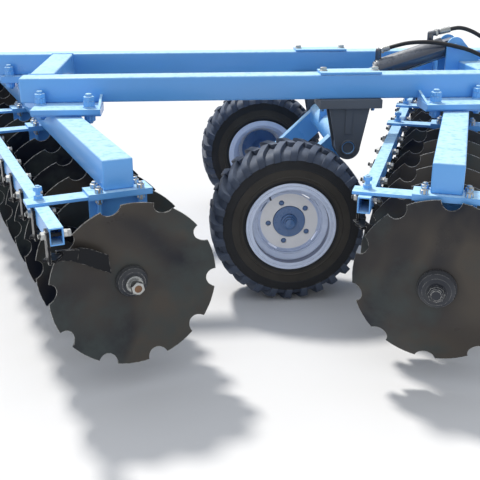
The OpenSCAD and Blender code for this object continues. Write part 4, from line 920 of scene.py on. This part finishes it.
hose_piece("rod_side_hose", [smooth_run(cylinder_run + rod_side_run + lane(frame_run, -1))],
           ["cylinder_hose"])
hose_piece("cap_side_hose", [smooth_run(cap_side_run + lane(frame_run, 1))],
           ["frame_hoses"])
leg_places = [(x, 0.017) for x in (1.955, 2.000, 2.480, 2.900, 2.965)]
leg_places += [(x, 0.024) for x in (3.015, 3.040, 3.060)]
leg_points = [[tuple(leg_at(x, side * 0.020, lift)) for x, lift in leg_places] for side in (-1, 1)]
hose_piece("drawbar_hose_pair", [smooth_run(lane(loop_run, side) + points)
                                 for side, points in zip((-1, 1), leg_points)],
           ["drawbar_hoses"])
paint_node("hose_couplers", zinc)

# Drawbar: two square tubes that meet at the hitch clevis, with two ties welded between them. Its jack is
# wound by a crank on its head, and the levelling screw is a rolled thread with a lock nut.
for node in ("levelling_mast", "drawbar", "jack_sleeve", "screw_sleeve"):
    paint_node(node, blue_paint)
for node in ("jack_leg", "screw_rod"):
    paint_node(node, zinc)
paint_node("hitch_clevis", cast_grey)

lug_x, jack_x = 2.240, 2.720
leg_lean = 0.156
leg_fall = 0.277
pin_y = 0.330
half_leg_across = 0.0405
half_tie_along = 0.060
half_tie_up = Vector((0, 0, 0.040))
drawbar_welds = bmesh.new()
for x in (lug_x, jack_x):
    along_leg = x - leg_from.x
    for side in (-1, 1):
        inner_face = side * (pin_y - leg_lean * along_leg - half_leg_across)
        middle = spot(x, inner_face, leg_from.z - leg_fall * along_leg)
        along_tie = Vector((half_tie_along, -side * leg_lean * half_tie_along, 0))
        weld_bead(drawbar_welds, square_loop(middle, along_tie, half_tie_up))
lug_foot, jack_seat = (leg_from.z - leg_fall * (x - leg_from.x) + half_tie_up.z for x in (lug_x, jack_x))
for side in (-1, 1):
    weld_bead(drawbar_welds, [spot(lug_x + u, side * 0.013, lug_foot) for u in (-0.051, 0.051)])
jack_ring = 0.039
weld_bead(drawbar_welds, [spot(jack_x + jack_ring * math.cos(a), jack_ring * math.sin(a), jack_seat)
                          for a in [math.radians(15 * k) for k in range(25)]])
add_piece("drawbar_welds", drawbar_welds, [blue_paint], "drawbar")

pin_fittings = bmesh.new()
for side in (-1, 1):
    for end in (-1, 1):
        lug_face = spot(leg_from.x, side * pin_y + end * 0.062, leg_from.z)
        washer(pin_fittings, standing(lug_face, (0, end, 0)), 0.058, 0.039, 0.005)
        split_pin = lug_face + Vector((0, end * 0.0085, 0))
        sweep(pin_fittings, [split_pin + z * up for z in (-0.034, -0.010, 0.010, 0.027)], 0.0030, 10)
add_piece("drawbar_pin_fittings", pin_fittings, [zinc], "frame")

crank_hub = spot(jack_x, 0, 0.930)
to_the_right = (0, -1, 0)
jack_lid = 0.9925
lid_bolts = 0.028
crank_bends = [(0, -0.045, 0), (0, -0.078, 0), (0.003, -0.088, -0.006), (0.008, -0.092, -0.018),
               (0.058, -0.092, -0.128), (0.062, -0.096, -0.139), (0.066, -0.106, -0.145),
               (0.066, -0.195, -0.145)]
grip_profile = [(0, 0), (0, 0.0105), (0.004, 0.0135), (0.040, 0.0150), (0.076, 0.0135), (0.080, 0.0105),
                (0.080, 0)]
boss_profile = [(0, 0), (0, 0.024), (0.022, 0.024), (0.026, 0.020), (0.032, 0.020), (0.032, 0)]
crank = bmesh.new()
sweep(crank, [crank_hub + Vector(p) for p in crank_bends], 0.008, sides=14)
turned(crank, grip_profile, standing(crank_hub + Vector((0.066, -0.112, -0.145)), to_the_right), 24, 1)
turned(crank, boss_profile, standing(crank_hub + Vector((0, -0.030, 0)), to_the_right), 32, 2)
for a in [math.radians(90 * k + 45) for k in range(4)]:
    bolt_head = spot(jack_x + lid_bolts * math.cos(a), lid_bolts * math.sin(a), jack_lid)
    hex_nut(crank, standing(bolt_head), 0.013, 0.007)
add_piece("jack_crank", crank, [zinc, hose_rubber, blue_paint], "drawbar")

mast_pin, lug_pin = spot(1.455, 0, 1.262), spot(lug_x, 0, 0.880)
screw_way = (lug_pin - mast_pin).normalized()
thread_from, thread_to, lead = 0.566, 0.786, 0.008
lock_nut_from = 0.5203
turns_shown = int((thread_to - thread_from) / lead)
crest, root = 0.0195, 0.0176
screw_flanks = [(0, 0), (0, root)]
for k in range(turns_shown):
    screw_flanks += [((k + part) * lead, r)
                     for part, r in ((0.2, crest), (0.5, crest), (0.7, root), (1.0, root))]
screw_flanks += [(turns_shown * lead + 0.0002, 0)]
rolled_thread = bmesh.new()
turned(rolled_thread, screw_flanks, standing(mast_pin + screw_way * thread_from, screw_way), 32)
add_piece("screw_rod_thread", rolled_thread, [zinc], "levelling_rod")
lock_nut = bmesh.new()
hex_nut(lock_nut, standing(mast_pin + screw_way * lock_nut_from, screw_way), 0.055, 0.020)
add_piece("screw_lock_nut", lock_nut, [zinc], "levelling_sleeve")
